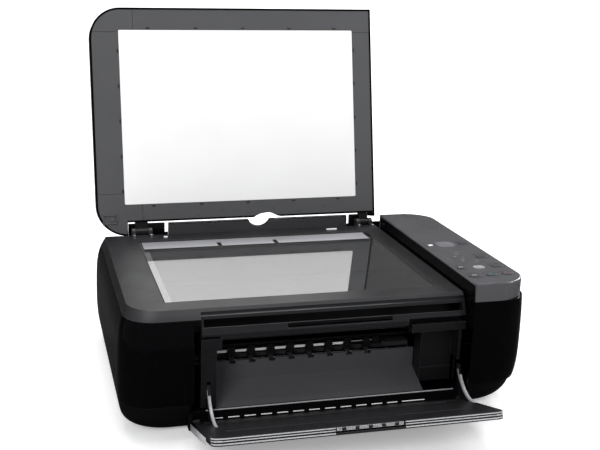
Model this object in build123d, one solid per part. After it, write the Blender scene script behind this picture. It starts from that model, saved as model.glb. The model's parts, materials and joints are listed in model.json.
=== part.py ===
"""A flat-bed inkjet printer, copier and scanner, built piece by piece in millimetres.

X runs to the right seen from the front, Y to the back, Z up from the table. Every function
makes one piece in a working frame whose X = 0 is the middle of the body; the last step moves
all pieces along Y, so that the origin is the middle of the whole object's plan.
The lid and the output tray are drawn closed and then turned open about their own hinges.
"""
from build123d import *
import os
from math import cos, pi, radians, sin

# Overall body
BODY_WIDTH = 444.0
BODY_DEPTH = 335.0
BODY_FRONT = -170.0
BODY_HEIGHT = 153.0
FOOT_HEIGHT = 4.0
WALL = 2.5
SEAM = 0.4
CORNER_RADIUS = 32.0
HALF = BODY_WIDTH / 2
BODY_BACK = BODY_FRONT + BODY_DEPTH

# Heights of the seams between the cases
SKIRT_TOP = 36.0
TOP_PLATE = 5.0
BEZEL = 9.1
LID_THICKNESS = 18.0
LID_GAP = 0.5
SCANNER_TOP = BODY_HEIGHT - LID_THICKNESS - LID_GAP
COVER_TOP = SCANNER_TOP - BEZEL - SEAM
SCANNER_CASE_BOTTOM = SCANNER_TOP - 28.5
FASCIA_BOTTOM = SCANNER_TOP - 30.0

# Seams across the width
LEFT_COVER_WIDTH = 84.0
PILLAR_WIDTH = 17.0
PANEL_WIDTH = 67.8
LEFT_SPLIT = -HALF + LEFT_COVER_WIDTH
OPENING_LEFT = LEFT_SPLIT + PILLAR_WIDTH
PANEL_LEFT = HALF - PANEL_WIDTH
SCANNER_RIGHT = PANEL_LEFT - 3.0
SCANNER_BACK = 135.0 + (BODY_BACK - 165.0)

# Control panel
PANEL_TOP = BODY_HEIGHT - 2.0
PANEL_HEIGHT = 19.6
PANEL_BACK = BODY_BACK - 40.0
PANEL_CORNER = 38.0
KEY_GAP = 0.5
KEY_TRAVEL = 0.6
KEY_PROUD = 0.9

# Scanner glass and its carriage
WINDOW_LEFT = -171.0
WINDOW_RIGHT = PANEL_LEFT - 23.9
WINDOW_FRONT = BODY_FRONT + 51.0
WINDOW_BACK = BODY_BACK - 60.2
GLASS_MARGIN = 8.5
GLASS_THICKNESS = 2.9
GLASS_LIP = 0.8
SCAN_RAIL_RADIUS = 2.5
SCAN_RAIL_Z = SCANNER_TOP - 22.0
SCAN_BAR_WIDTH = 18.0
SCAN_BAR_LEFT = WINDOW_LEFT - 8.0
SCAN_TRAVEL = WINDOW_RIGHT + 4.0 - SCAN_BAR_WIDTH - SCAN_BAR_LEFT

# Scanner unit's rear hinge
UNIT_PIVOT_Y = BODY_BACK - 15.0
UNIT_PIVOT_Z = SCANNER_TOP - 18.5
UNIT_PIN_RADIUS = 3.0
UNIT_OPEN = 28.0
UNIT_EARS = ((-162.0, -156.0), (PANEL_LEFT - 20.2, PANEL_LEFT - 14.2))

# Stay that holds the raised unit up
ARM_X = (-166.0, -162.0)
ARM_PIVOT_Y = BODY_BACK - 104.0
ARM_PIVOT_Z = SCANNER_CASE_BOTTOM - 3.0
ARM_LENGTH = 42.0
ARM_HALF = 2.2
ARM_SWING = 118.0

# Lid
LID_OPEN = 102.3
LID_PIVOT_Y = BODY_BACK - 23.7
LID_PIVOT_Z = SCANNER_TOP + 2.0
LID_LEFT = -HALF + 3.6
LID_RIGHT = PANEL_LEFT - 1.0
LID_FRONT = BODY_FRONT + 27.0
LID_REAR = LID_PIVOT_Y - 13.3
LID_EAR_REAR = LID_REAR + 17.0
LID_CORNER = 39.0
LID_BOTTOM = SCANNER_TOP + LID_GAP
LID_WALL = 2.2
MAT_MARGIN_FRONT = 28.0
MAT_MARGIN_REAR = 22.9
MAT_MARGIN_LEFT = 36.2
MAT_MARGIN_RIGHT = 26.5
MAT_THICKNESS = 3.2
MAT_PROUD = 0.15
NOTCH_X = 3.8
NOTCH_WIDTH = 36.5
NOTCH_DEPTH = 5.6
LID_ARMS = ((-170.0, -154.0), (PANEL_LEFT - 23.2, PANEL_LEFT - 11.2))
LID_BARREL_RADIUS = 5.5
LID_PIN_RADIUS = 2.0
LUG_WIDTH = 4.5
RUNNING = 0.05

# Output tray
TRAY_OPEN = 72.0
TRAY_PIVOT_Y = BODY_FRONT + 13.5
TRAY_PIVOT_Z = 15.5
TRAY_LENGTH = 104.0
TRAY_INNER = 0.6
TRAY_END = 2.2
TRAY_THICKNESS = 8.0
TRAY_SKIN = 2.2
TRAY_LEFT = LEFT_SPLIT - 8.0
TRAY_RIGHT = PANEL_LEFT - 1.6
TRAY_PIN_RADIUS = 2.2
TRAY_ARMS = (OPENING_LEFT - 10.0, PANEL_LEFT - 4.6)
TRAY_ARM_WIDTH = 3.0
TRAY_ARM_REACH = 38.0
SILL_Y = TRAY_PIVOT_Y + 2.9
SILL_TOP = 26.0
FLAP_LEFT = -25.0
FLAP_RIGHT = 45.0
FLAP_LENGTH = 30.0
FLAP_OPEN = 165.0

# Rear paper support
SUPPORT_LEFT = -125.0
SUPPORT_RIGHT = 118.0
SUPPORT_BOTTOM = 62.0
SUPPORT_TOP = LID_BOTTOM + 8.0
SUPPORT_THICKNESS = 9.0
SUPPORT_BACK = BODY_BACK - 1.0
SUPPORT_FRONT = SUPPORT_BACK - SUPPORT_THICKNESS
SUPPORT_PIVOT_Y = SUPPORT_BACK - 4.5
SUPPORT_PIVOT_Z = SUPPORT_BOTTOM + 6.0
SUPPORT_PIN_RADIUS = 2.5
EXTENSION_LEFT = -60.0
EXTENSION_RIGHT = 53.0
GUIDE_X = 104.0
GUIDE_THICKNESS = 3.0
GUIDE_TRAVEL = 45.0

# Paper path and print mechanism
PAPER_Z = 62.0
CHASSIS_LEFT = -HALF + 42.0
CHASSIS_RIGHT = HALF - 22.0
CHASSIS_BACK = BODY_BACK - 95.0
CHASSIS_FRONT = BODY_FRONT + 60.0
CHASSIS_BOTTOM = 40.0
CHASSIS_TOP = SCANNER_CASE_BOTTOM - 6.0
SHEET = 1.6
FEED_Y = 24.0
FEED_RADIUS = 6.0
ROLLER_Z = PAPER_Z - FEED_RADIUS
OUTPUT_Y = BODY_FRONT + 70.0
OUTPUT_SHAFT_RADIUS = 3.0
STAR_PITCH = 22.0
STAR_COUNT = 8
STAR_FIRST_X = -107.0
GUIDE_SHAFT_RADIUS = 4.0
GUIDE_SHAFT_Y = CHASSIS_BACK - 28.0
GUIDE_SHAFT_Z = PAPER_Z + 23.0
CARRIAGE_WIDTH = 72.0
CARRIAGE_HOME = CHASSIS_RIGHT - 45.0
CARRIAGE_BOTTOM = PAPER_Z + 4.0
CARRIAGE_TOP = SCANNER_CASE_BOTTOM - 3.0
CARRIAGE_FRONT = -44.0
BELT_Y = CHASSIS_BACK - 10.0
BELT_WIDTH = 6.0
PULLEY_RADIUS = 6.0
BELT_THICKNESS = 1.2
BELT_Z = CHASSIS_TOP - 12.0
PICKUP_Y = BODY_BACK - 43.0
PICKUP_Z = 84.0
PICKUP_RADIUS = 12.0

# Gears on the left side of the chassis
GEAR_MODULE = 1.0
GEAR_WIDTH = 6.0
GEAR_X = CHASSIS_LEFT - 3.0 - GEAR_WIDTH
FEED_TEETH = 40
PINION_TEETH = 16
PINION_ANGLE = -45.0


def block(x, y, z):
    """A box between two values on each axis."""
    size = (x[1] - x[0], y[1] - y[0], z[1] - z[0])
    middle = ((x[0] + x[1]) / 2, (y[0] + y[1]) / 2, (z[0] + z[1]) / 2)
    return Pos(*middle) * Box(*size)


def rod_x(x, y, z, radius):
    """A round bar along X."""
    return Pos((x[0] + x[1]) / 2, y, z) * Rot(0, 90, 0) * Cylinder(radius, x[1] - x[0])


def rod_y(x, y, z, radius):
    """A round bar along Y."""
    return Pos(x, (y[0] + y[1]) / 2, z) * Rot(90, 0, 0) * Cylinder(radius, y[1] - y[0])


def rod_z(x, y, z, radius):
    """A round bar along Z."""
    return Pos(x, y, (z[0] + z[1]) / 2) * Cylinder(radius, z[1] - z[0])


def prism_x(points, x):
    """A section in Y and Z, drawn along X."""
    face = Plane.YZ.offset(x[0]) * Polygon(*points, align=None)
    return extrude(face, amount=x[1] - x[0], dir=(1, 0, 0))


def rounded_plate(x, y, z, radius):
    """A plate with round corners seen from above."""
    face = RectangleRounded(x[1] - x[0], y[1] - y[0], radius)
    middle = Pos((x[0] + x[1]) / 2, (y[0] + y[1]) / 2, z[0])
    return extrude(middle * face, amount=z[1] - z[0])


def group(shapes):
    """Separate solids kept together as one node."""
    joined = shapes[0]
    for shape in shapes[1:]:
        joined = joined + shape
    return joined


def turned(shape, y, z, angle):
    """The shape turned about a line along X."""
    return shape.rotate(Axis((0, y, z), (1, 0, 0)), angle)


# Each level of the body's outline: height, and how far the side, the front and the back
# have come in from the widest outline there.
LEFT_LEVELS = (
    (FOOT_HEIGHT, 20.0, 24.0, 10.0),
    (FOOT_HEIGHT + 14.0, 4.5, 12.5, 4.0),
    (FOOT_HEIGHT + 30.0, 1.4, 5.5, 1.6),
    (SCANNER_TOP - 76.0, 0.3, 1.0, 0.2),
    (SCANNER_TOP - 46.0, 0.8, 0.3, 0.3),
    (SCANNER_TOP - 22.0, 3.2, 5.0, 1.2),
    (SCANNER_TOP - 9.0, 7.6, 13.5, 2.6),
    (SCANNER_TOP, 12.5, 22.5, 5.0),
)
RIGHT_LEVELS = (
    (FOOT_HEIGHT, 24.0, 24.0, 10.0),
    (FOOT_HEIGHT + 14.0, 8.0, 12.0, 4.0),
    (FOOT_HEIGHT + 30.0, 2.8, 4.6, 1.6),
    (SCANNER_TOP - 76.0, 0.3, 0.4, 0.2),
    (SCANNER_TOP - 34.0, 0.0, 0.0, 0.0),
    (SCANNER_TOP, 1.4, 0.6, 0.8),
    (PANEL_TOP, 3.4, 2.4, 2.4),
)
LEFT_SETBACK = 5.0


def hull(levels, front, inset=0.0):
    """The body's bulging outline as one solid, or the same a wall further in."""
    sections = []
    for z, side, ahead, behind in levels:
        width = BODY_WIDTH - 2 * side - 2 * inset
        y_front = front + ahead + inset
        y_back = BODY_BACK - behind - inset
        face = RectangleRounded(width, y_back - y_front, CORNER_RADIUS - inset)
        sections.append(Pos(0, (y_front + y_back) / 2, z) * face)
    return loft(sections)


LEFT_HULL = hull(LEFT_LEVELS, BODY_FRONT + LEFT_SETBACK)
LEFT_CORE = hull(LEFT_LEVELS, BODY_FRONT + LEFT_SETBACK, WALL)
RIGHT_HULL = hull(RIGHT_LEVELS, BODY_FRONT)
RIGHT_CORE = hull(RIGHT_LEVELS, BODY_FRONT, WALL)
FAR = 400.0


# ---- Base: cases ----

def tray_recess():
    """The room that the closed output tray takes in front of the body."""
    top = TRAY_PIVOT_Z + TRAY_LENGTH + 1.0
    return block((TRAY_LEFT - 0.8, PANEL_LEFT - 0.8), (-FAR, SILL_Y - 0.5), (0, top))


def tray_arm_slots():
    """The slots that let the tray's curved side arms swing into the body."""
    slots = []
    for x in TRAY_ARMS:
        slot_x = (x - 0.8, x + TRAY_ARM_WIDTH + 0.8)
        slots.append(block(slot_x, (SILL_Y - 4.0, SILL_Y + 45.0), (7.5, SILL_TOP + 30.0)))
    return slots


def bottom_case():
    """The open tub that carries everything, with a wall behind the tray's hinge."""
    shell = (LEFT_HULL - LEFT_CORE) & block((-FAR, FAR), (-FAR, FAR), (FOOT_HEIGHT, SKIRT_TOP))
    floor = LEFT_HULL & block((-FAR, FAR), (-FAR, FAR), (FOOT_HEIGHT, FOOT_HEIGHT + WALL))
    sill = block((TRAY_LEFT - 3.0, PANEL_LEFT + 2.0), (SILL_Y, SILL_Y + WALL), (FOOT_HEIGHT, SILL_TOP))
    case = (shell + floor) - block((TRAY_LEFT - 3.5, PANEL_LEFT + 2.5), (-FAR, SILL_Y), (0, FAR))
    case += sill
    for x in (TRAY_LEFT - 6.0, PANEL_LEFT + 1.9):
        cheek = block((x, x + 4.0), (TRAY_PIVOT_Y - 4.5, SILL_Y + 2.0), (FOOT_HEIGHT + 4.0, SILL_TOP))
        case += cheek
    for slot in tray_arm_slots():
        case -= slot
    holes = rod_x((-HALF, HALF), TRAY_PIVOT_Y, TRAY_PIVOT_Z, TRAY_PIN_RADIUS + RUNNING)
    case -= holes & block((TRAY_LEFT - 20, PANEL_LEFT + 20), (-FAR, 0), (0, 40))
    for x in (-HALF + 60.0, HALF - 60.0):
        for y in (BODY_FRONT + 48.0, BODY_BACK - 42.0):
            case -= rod_z(x, y, (0, FOOT_HEIGHT + 1.5), 9.2)
    for x in (-150.0, -75.0, 0.0, 60.0):
        case += block((x, x + 1.6), (BODY_FRONT + 32.0, BODY_BACK - 60.0), (FOOT_HEIGHT + 1, 10.0))
    return case


def rubber_feet():
    """Four soft discs pressed into pockets under the tub."""
    feet = []
    for x in (-HALF + 60.0, HALF - 60.0):
        for y in (BODY_FRONT + 48.0, BODY_BACK - 42.0):
            foot = rod_z(x, y, (0, FOOT_HEIGHT + 1.4), 9.0)
            feet.append(chamfer(foot.edges().sort_by(Axis.Z)[0], 0.8))
    return group(feet)


def left_side_cover():
    """The glossy outer wall on the left, wrapped round to the front and the back."""
    cover = (LEFT_HULL - LEFT_CORE) & block(
        (-FAR, LEFT_SPLIT), (-FAR, FAR), (SKIRT_TOP + SEAM, COVER_TOP)
    )
    return cover - tray_recess()


def right_side_cover():
    """The glossy outer wall on the right, and the upright wall beside the scanner unit."""
    cover = (RIGHT_HULL - RIGHT_CORE) & block(
        (PANEL_LEFT, FAR), (-FAR, FAR), (SKIRT_TOP + SEAM, PANEL_TOP - PANEL_HEIGHT - SEAM)
    )
    wall_x = (PANEL_LEFT, PANEL_LEFT + WALL)
    bottom = SCANNER_CASE_BOTTOM - 1.0
    wall = block(wall_x, (BODY_FRONT + 5.0, PANEL_BACK - 4.0), (bottom, PANEL_TOP - WALL - 0.3))
    root = block(wall_x, (BODY_FRONT + 2.0, BODY_FRONT + 6.0), (bottom, PANEL_TOP - PANEL_HEIGHT - SEAM))
    return cover + wall + root - tray_recess()


def rear_cover():
    """The back wall, open where the paper support folds in, with the unit's hinge pins."""
    top = SCANNER_TOP - 4.0
    shell = (LEFT_HULL - LEFT_CORE) & block(
        (LEFT_SPLIT + SEAM, PANEL_LEFT - SEAM), (0, FAR), (SKIRT_TOP + SEAM, top)
    )
    shell -= block(
        (SUPPORT_LEFT - 0.8, SUPPORT_RIGHT + 0.8), (0, FAR), (SUPPORT_BOTTOM - 2.0, FAR)
    )
    for x in (SUPPORT_LEFT - 4.0, SUPPORT_RIGHT + 1.0):
        shell += block((x, x + 3.0), (SUPPORT_FRONT - 4, BODY_BACK - 2.2), (SUPPORT_BOTTOM - 6, 96.0))
    reach = (SUPPORT_LEFT - 4.2, SUPPORT_RIGHT + 4.2)
    shell -= rod_x(reach, SUPPORT_PIVOT_Y, SUPPORT_PIVOT_Z, SUPPORT_PIN_RADIUS + RUNNING)
    for ear in UNIT_EARS:
        x = (ear[1] + 0.6, ear[1] + 3.6)
        post = block(x, (UNIT_PIVOT_Y - 6.0, BODY_BACK - 1.5), (UNIT_PIVOT_Z - 40.0, UNIT_PIVOT_Z + 6.0))
        post -= block((-FAR, LEFT_SPLIT), (UNIT_PIVOT_Y + 2.0, FAR), (0, FAR))
        foot = block((x[0], max(x[1], LEFT_SPLIT + 4.0)), (UNIT_PIVOT_Y - 6.0, UNIT_PIVOT_Y + 1.0),
                     (UNIT_PIVOT_Z - 40.0, UNIT_PIVOT_Z - 36.0))
        link = block((foot.bounding_box().max.X - 3.0, foot.bounding_box().max.X),
                     (UNIT_PIVOT_Y, BODY_BACK - 1.5), (UNIT_PIVOT_Z - 40.0, UNIT_PIVOT_Z - 36.0))
        pin = rod_x((ear[0] - 1.0, x[0] + 1.0), UNIT_PIVOT_Y, UNIT_PIVOT_Z, UNIT_PIN_RADIUS)
        shell += post + foot + link + pin
    for sx, sz, wide, high in SOCKETS:
        shell -= block((sx - wide / 2, sx + wide / 2), (BODY_BACK - 20, FAR), (sz - high / 2, sz + high / 2))
    for row in range(6):
        z = 42.0 + 4.0 * row
        if z + 2.0 < SUPPORT_BOTTOM - 2.0:
            shell -= block((-100.0, -20.0), (BODY_BACK - 12.0, FAR), (z, z + 2.0))
    return shell


# Rear sockets: middle X, middle Z, width, height
SOCKET_X = PANEL_LEFT - 20.2
SOCKETS = ((SOCKET_X, 50.0, 24.0, 15.0), (SOCKET_X, 72.0, 13.0, 12.0))


def rear_sockets():
    """The two-pin power inlet and the square data socket, each an open-mouthed shell."""
    bodies = []
    for sx, sz, wide, high in SOCKETS:
        half_x = wide / 2 - 0.3
        half_z = high / 2 - 0.3
        back = BODY_BACK - 1.6
        shell = block((sx - half_x, sx + half_x), (back - 16.0, back), (sz - half_z, sz + half_z))
        shell -= block(
            (sx - half_x + 1.6, sx + half_x - 1.6), (back - 12.0, FAR), (sz - half_z + 1.6, sz + half_z - 1.6)
        )
        if wide > 20.0:
            for dx in (-4.3, 4.3):
                shell += rod_y(sx + dx, (back - 12.5, back - 2.0), sz, 1.2)
        else:
            shell += block((sx - 2.8, sx + 2.8), (back - 12.5, back - 7.0), (sz - 1.6, sz + 1.6))
        bodies.append(shell)
    return group(bodies)


def front_frame():
    """Inner frame round the paper exit: left pillar, top beam, right block and cross strip."""
    back_y = BODY_FRONT + 40.0
    face_y = BODY_FRONT + 20.0
    top = FASCIA_BOTTOM - 1.5
    pillar = block((LEFT_SPLIT + SEAM, OPENING_LEFT), (face_y, face_y + 14.0), (SILL_TOP + 1.0, top))
    cap = block((LEFT_SPLIT + SEAM, OPENING_LEFT + 5.0), (face_y - 1.5, face_y + 14), (top - 12.0, top))
    cheek = block((OPENING_LEFT - 2.5, OPENING_LEFT), (face_y, CHASSIS_FRONT - 2.0), (SILL_TOP + 1.0, top))
    beam = block((LEFT_SPLIT + SEAM, PANEL_LEFT - SEAM), (back_y - 3.0, back_y), (top - 9.0, top))
    strip = block((PANEL_LEFT - 62.0, PANEL_LEFT - SEAM), (face_y - 1.0, back_y), (top - 9.0, top - 6.5))
    strip += block((PANEL_LEFT - 62.0, PANEL_LEFT - SEAM), (face_y - 1.0, face_y + 1.5), (top - 9.0, top))
    right = block((PANEL_LEFT - 42.0, PANEL_LEFT - SEAM), (back_y, back_y + WALL), (SILL_TOP + 1.0, top))
    wall = block((PANEL_LEFT - 42.0, PANEL_LEFT - 39.5), (back_y, CHASSIS_FRONT - 2.0), (SILL_TOP + 1.0, top))
    ledge = block((PANEL_LEFT - 42.0, PANEL_LEFT - SEAM), (back_y - 1.5, back_y), (42.0, 44.0))
    side = block((PANEL_LEFT - 6.0, PANEL_LEFT - 3.5), (face_y + 1.0, back_y), (58.0, top))
    frame = pillar + cap + cheek + beam + strip + right + wall + ledge + side
    for slot in tray_arm_slots():
        frame -= slot
    return frame


def output_guide():
    """The sloping front of the paper exit, with a toothed top edge between the rollers."""
    face_y = BODY_FRONT + 23.5
    back_y = OUTPUT_Y - 8.0
    points = (
        (face_y, 19.0), (face_y, 22.5), (back_y - 3.0, 38.0), (back_y - 3.0, 60.0),
        (back_y, 60.0), (back_y, 36.0), (face_y + 3.0, 19.0),
    )
    x = (OPENING_LEFT + SEAM, PANEL_LEFT - 42.0 - SEAM)
    guide = prism_x(points, x)
    for step in range(STAR_COUNT):
        middle = STAR_FIRST_X + STAR_PITCH * (step + 0.5)
        guide -= block((middle - 3.5, middle + 3.5), (-FAR, FAR), (56.5, FAR))
    return guide


# ---- Control panel ----

# Keys: name, middle X and Y measured from the panel's left edge and the body's front,
# length along X, length along Y, corner radius
KEYS = (
    ("copies_key", 52.8, 150.0, 13.0, 9.0, 4.0),
    ("fit_to_page_key", 50.3, 96.0, 13.0, 10.0, 4.5),
    ("scan_key", 51.0, 59.0, 13.0, 10.0, 4.5),
    ("power_key", 8.0, 59.0, 9.0, 9.0, 4.2),
    ("ok_key", 28.5, 56.5, 13.0, 10.0, 4.5),
    ("black_start_key", 10.5, 29.5, 13.0, 9.5, 4.5),
    ("colour_start_key", 31.0, 30.5, 13.0, 9.5, 4.5),
    ("stop_key", 50.0, 32.0, 12.0, 10.0, 4.5),
)
DISPLAY_X = (18.0, 40.0)
DISPLAY_Y = (137.0, 159.0)


def key_place(key):
    """The middle of a key in the working frame."""
    return PANEL_LEFT + key[1], BODY_FRONT + key[2]


def control_panel():
    """The grey cap over the right side, with one hole for each key and for the display."""
    bottom = PANEL_TOP - PANEL_HEIGHT
    lip = block((PANEL_LEFT, FAR), (-FAR, PANEL_BACK), (bottom, PANEL_TOP))
    cut_corner = rounded_plate((0, HALF - 1.4), (BODY_FRONT + 0.4, PANEL_BACK), (0, FAR), PANEL_CORNER)
    outer = (RIGHT_HULL & lip) & cut_corner
    inner_block = rounded_plate(
        (0, HALF - 1.4 - WALL), (BODY_FRONT + 0.4 + WALL, PANEL_BACK - WALL), (0, PANEL_TOP - WALL),
        PANEL_CORNER - WALL,
    )
    cap = outer - (inner_block & RIGHT_CORE)
    cap = fillet(cap.faces().sort_by(Axis.Z)[-1].edges(), 1.6)
    for key in KEYS:
        x, y = key_place(key)
        half_x = key[3] / 2 + KEY_GAP / 2
        half_y = key[4] / 2 + KEY_GAP / 2
        cap -= rounded_plate((x - half_x, x + half_x), (y - half_y, y + half_y), (0, FAR), key[5])
    x = (PANEL_LEFT + DISPLAY_X[0] - 0.2, PANEL_LEFT + DISPLAY_X[1] + 0.2)
    y = (BODY_FRONT + DISPLAY_Y[0] - 0.2, BODY_FRONT + DISPLAY_Y[1] + 0.2)
    cap -= rounded_plate(x, y, (PANEL_TOP - 1.2, FAR), 7.0)
    return cap


def display_window():
    """The small clear window set flush into the panel."""
    x = (PANEL_LEFT + DISPLAY_X[0], PANEL_LEFT + DISPLAY_X[1])
    y = (BODY_FRONT + DISPLAY_Y[0], BODY_FRONT + DISPLAY_Y[1])
    return rounded_plate(x, y, (PANEL_TOP - 1.15, PANEL_TOP + 0.1), 6.8)


def panel_key(key):
    """One key: a slim cap through the panel with a wider foot that keeps it in."""
    x, y = key_place(key)
    half_x = key[3] / 2
    half_y = key[4] / 2
    z = (PANEL_TOP - 5.0, PANEL_TOP + KEY_PROUD)
    cap = rounded_plate((x - half_x, x + half_x), (y - half_y, y + half_y), z, key[5] - 0.3)
    cap = fillet(cap.faces().sort_by(Axis.Z)[-1].edges(), 0.6)
    foot = rounded_plate(
        (x - half_x - 1, x + half_x + 1), (y - half_y - 1, y + half_y + 1),
        (PANEL_TOP - 5.0, PANEL_TOP - WALL - 0.3), key[5],
    )
    return cap + foot


# ---- Scanner unit ----

def scanner_case():
    """The shallow tub under the glass, with the unit's rear hinge ears."""
    x = (LID_LEFT + 13.5, SCANNER_RIGHT - 2.5)
    y = (BODY_FRONT + 34.0, SCANNER_BACK - 1.0)
    top = SCANNER_TOP - TOP_PLATE
    case = rounded_plate(x, y, (SCANNER_CASE_BOTTOM, top), 14.0)
    case -= rounded_plate((x[0] + 2, x[1] - 2), (y[0] + 2, y[1] - 2), (SCANNER_CASE_BOTTOM + 2, FAR), 12.0)
    for ear in UNIT_EARS:
        arm = block(ear, (y[1] - 3.0, UNIT_PIVOT_Y), (UNIT_PIVOT_Z - 5.5, UNIT_PIVOT_Z + 5.5))
        arm += rod_x(ear, UNIT_PIVOT_Y, UNIT_PIVOT_Z, 5.5)
        arm -= rod_x((ear[0] - 1, ear[1] + 1), UNIT_PIVOT_Y, UNIT_PIVOT_Z, UNIT_PIN_RADIUS + RUNNING)
        case += arm
    for end in (x[0] + 1.0, x[1] - 5.0):
        post = block((end, end + 4.0), (-8.0, 4.0), (SCANNER_CASE_BOTTOM + 1, SCAN_RAIL_Z + 5))
        case += post
    case -= rod_x((x[0] + 0.8, x[1] - 0.8), -2.0, SCAN_RAIL_Z, SCAN_RAIL_RADIUS + 0.02)
    lug_z = (ARM_PIVOT_Z - 2.6, SCANNER_CASE_BOTTOM + 1)
    for side in (ARM_X[0] - 3.2, ARM_X[1] + 0.4):
        lug = block((side, side + 2.8), (ARM_PIVOT_Y - 4, ARM_PIVOT_Y + 4), lug_z)
        lug -= rod_x((side - 1, side + 4), ARM_PIVOT_Y, ARM_PIVOT_Z, 1.5 + RUNNING)
        case += lug
    return case


def lug_pairs():
    """X ranges of the two lugs beside each of the lid's arms."""
    pairs = []
    for arm in LID_ARMS:
        pairs.append((arm[0] - 0.4 - LUG_WIDTH, arm[0] - 0.4))
        pairs.append((arm[1] + 0.4, arm[1] + 0.4 + LUG_WIDTH))
    return pairs


def scanner_top_frame():
    """The top plate round the glass, its left rim and the lugs of the lid's hinges."""
    z = (COVER_TOP + SEAM, SCANNER_TOP)
    rim = LEFT_HULL & block((-FAR, SCANNER_RIGHT), (-FAR, SCANNER_BACK + 1.0), z)
    inside = block((-FAR, SCANNER_RIGHT), (-FAR, SCANNER_BACK - 1.5), (0, SCANNER_TOP - TOP_PLATE))
    hollow = LEFT_CORE & inside
    frame = rim - hollow
    frame -= block((LEFT_SPLIT + 0.4, FAR), (-FAR, BODY_FRONT + 33.0), (0, SCANNER_TOP - 3.0))
    frame -= block((LEFT_SPLIT, FAR), (-FAR, SCANNER_BACK + 10), (0, SCANNER_TOP - TOP_PLATE))
    frame -= block((-FAR, FAR), (SCANNER_BACK - 1.5, FAR), (0, SCANNER_TOP - TOP_PLATE))
    window = block((WINDOW_LEFT, WINDOW_RIGHT), (WINDOW_FRONT, WINDOW_BACK), (0, FAR))
    pocket = block(
        (WINDOW_LEFT - GLASS_MARGIN, WINDOW_RIGHT + GLASS_MARGIN),
        (WINDOW_FRONT - GLASS_MARGIN, WINDOW_BACK + GLASS_MARGIN),
        (0, SCANNER_TOP - GLASS_LIP),
    )
    frame -= window + pocket
    trough = block((LEFT_SPLIT - 8, SUPPORT_RIGHT + 6), (WINDOW_BACK + 6.5, FAR), (SCANNER_TOP - 0.6, FAR))
    frame -= trough
    for pair in lug_pairs():
        plate_y = (SCANNER_BACK - 6.0, LID_PIVOT_Y + 6.0)
        lug = block(pair, plate_y, (SCANNER_TOP - TOP_PLATE, LID_PIVOT_Z))
        lug += rod_x(pair, LID_PIVOT_Y, LID_PIVOT_Z, 6.0)
        lug -= rod_x((pair[0] - 1, pair[1] + 1), LID_PIVOT_Y, LID_PIVOT_Z, LID_PIN_RADIUS + RUNNING)
        frame += lug
    return frame


def scanner_fascia():
    """The glossy front bar under the scanner's top plate, with a slot for the fingers."""
    top = SCANNER_TOP - 3.0 - SEAM
    front = BODY_FRONT
    points = (
        (front + 30.0, top), (front + 26.0, top), (front + 25.0, top - 3.0), (front + 23.4, top - 4.2),
        (front + 15.2, FASCIA_BOTTOM + 5.0), (front + 14.8, FASCIA_BOTTOM), (front + 30.0, FASCIA_BOTTOM),
    )
    bar = prism_x(points, (LEFT_SPLIT + 0.6, SCANNER_RIGHT + 1.0))
    hollow_z = (FASCIA_BOTTOM - 1, top - 7)
    bar -= block((LEFT_SPLIT + 3.0, SCANNER_RIGHT - 1.5), (front + 18.5, front + 31), hollow_z)
    bar -= block((PANEL_LEFT - 68.0, FAR), (-FAR, FAR), (0, FASCIA_BOTTOM + 7.0))
    bar -= block((LEFT_SPLIT, LEFT_SPLIT + 20.0), (-FAR, FAR), (0, FASCIA_BOTTOM + 3.0))
    slot = block((-47.0, 68.0), (front, front + 20.0), (FASCIA_BOTTOM + 6.5, FASCIA_BOTTOM + 11.0))
    return bar - slot


def scanner_glass():
    """The flat glass bed, held under the top plate's thin lip."""
    top = SCANNER_TOP - GLASS_LIP - 0.1
    edge = GLASS_MARGIN - 0.3
    return block(
        (WINDOW_LEFT - edge, WINDOW_RIGHT + edge),
        (WINDOW_FRONT - edge, WINDOW_BACK + edge),
        (top - GLASS_THICKNESS, top),
    )


def scan_bar():
    """The sensor bar that travels under the glass, with a bore for its rail."""
    x = (SCAN_BAR_LEFT, SCAN_BAR_LEFT + SCAN_BAR_WIDTH)
    y = (WINDOW_FRONT - 5.0, WINDOW_BACK + 5.0)
    top = SCANNER_TOP - GLASS_LIP - GLASS_THICKNESS - 0.8
    bar = block(x, y, (SCAN_RAIL_Z + 4.0, top))
    middle = (x[0] + x[1]) / 2
    bar -= block((middle - 4, middle + 4), (y[0] + 3, y[1] - 3), (top - 1.2, FAR))
    boss = block(x, (-8.0, 4.0), (SCAN_RAIL_Z - 3.8, SCAN_RAIL_Z + 4.5))
    bore = rod_x((x[0] - 1, x[1] + 1), -2.0, SCAN_RAIL_Z, SCAN_RAIL_RADIUS + RUNNING)
    return bar + boss - bore


def scan_rail():
    """The round steel rail of the sensor bar."""
    x = (LID_LEFT + 13.5, SCANNER_RIGHT - 2.5)
    return rod_x((x[0] + 1.0, x[1] - 1.0), -2.0, SCAN_RAIL_Z, SCAN_RAIL_RADIUS)


def support_arm():
    """A stay folded flat under the scanner tub, with its pin at the rear end."""
    z = (ARM_PIVOT_Z - ARM_HALF, ARM_PIVOT_Z + ARM_HALF)
    arm = block(ARM_X, (ARM_PIVOT_Y - ARM_LENGTH, ARM_PIVOT_Y), z)
    arm += rod_x(ARM_X, ARM_PIVOT_Y, ARM_PIVOT_Z, ARM_HALF)
    arm += rod_x(ARM_X, ARM_PIVOT_Y - ARM_LENGTH, ARM_PIVOT_Z, ARM_HALF)
    return arm + rod_x((ARM_X[0] - 3.2, ARM_X[1] + 3.2), ARM_PIVOT_Y, ARM_PIVOT_Z, 1.5)


# ---- Lid, drawn closed ----

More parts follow.
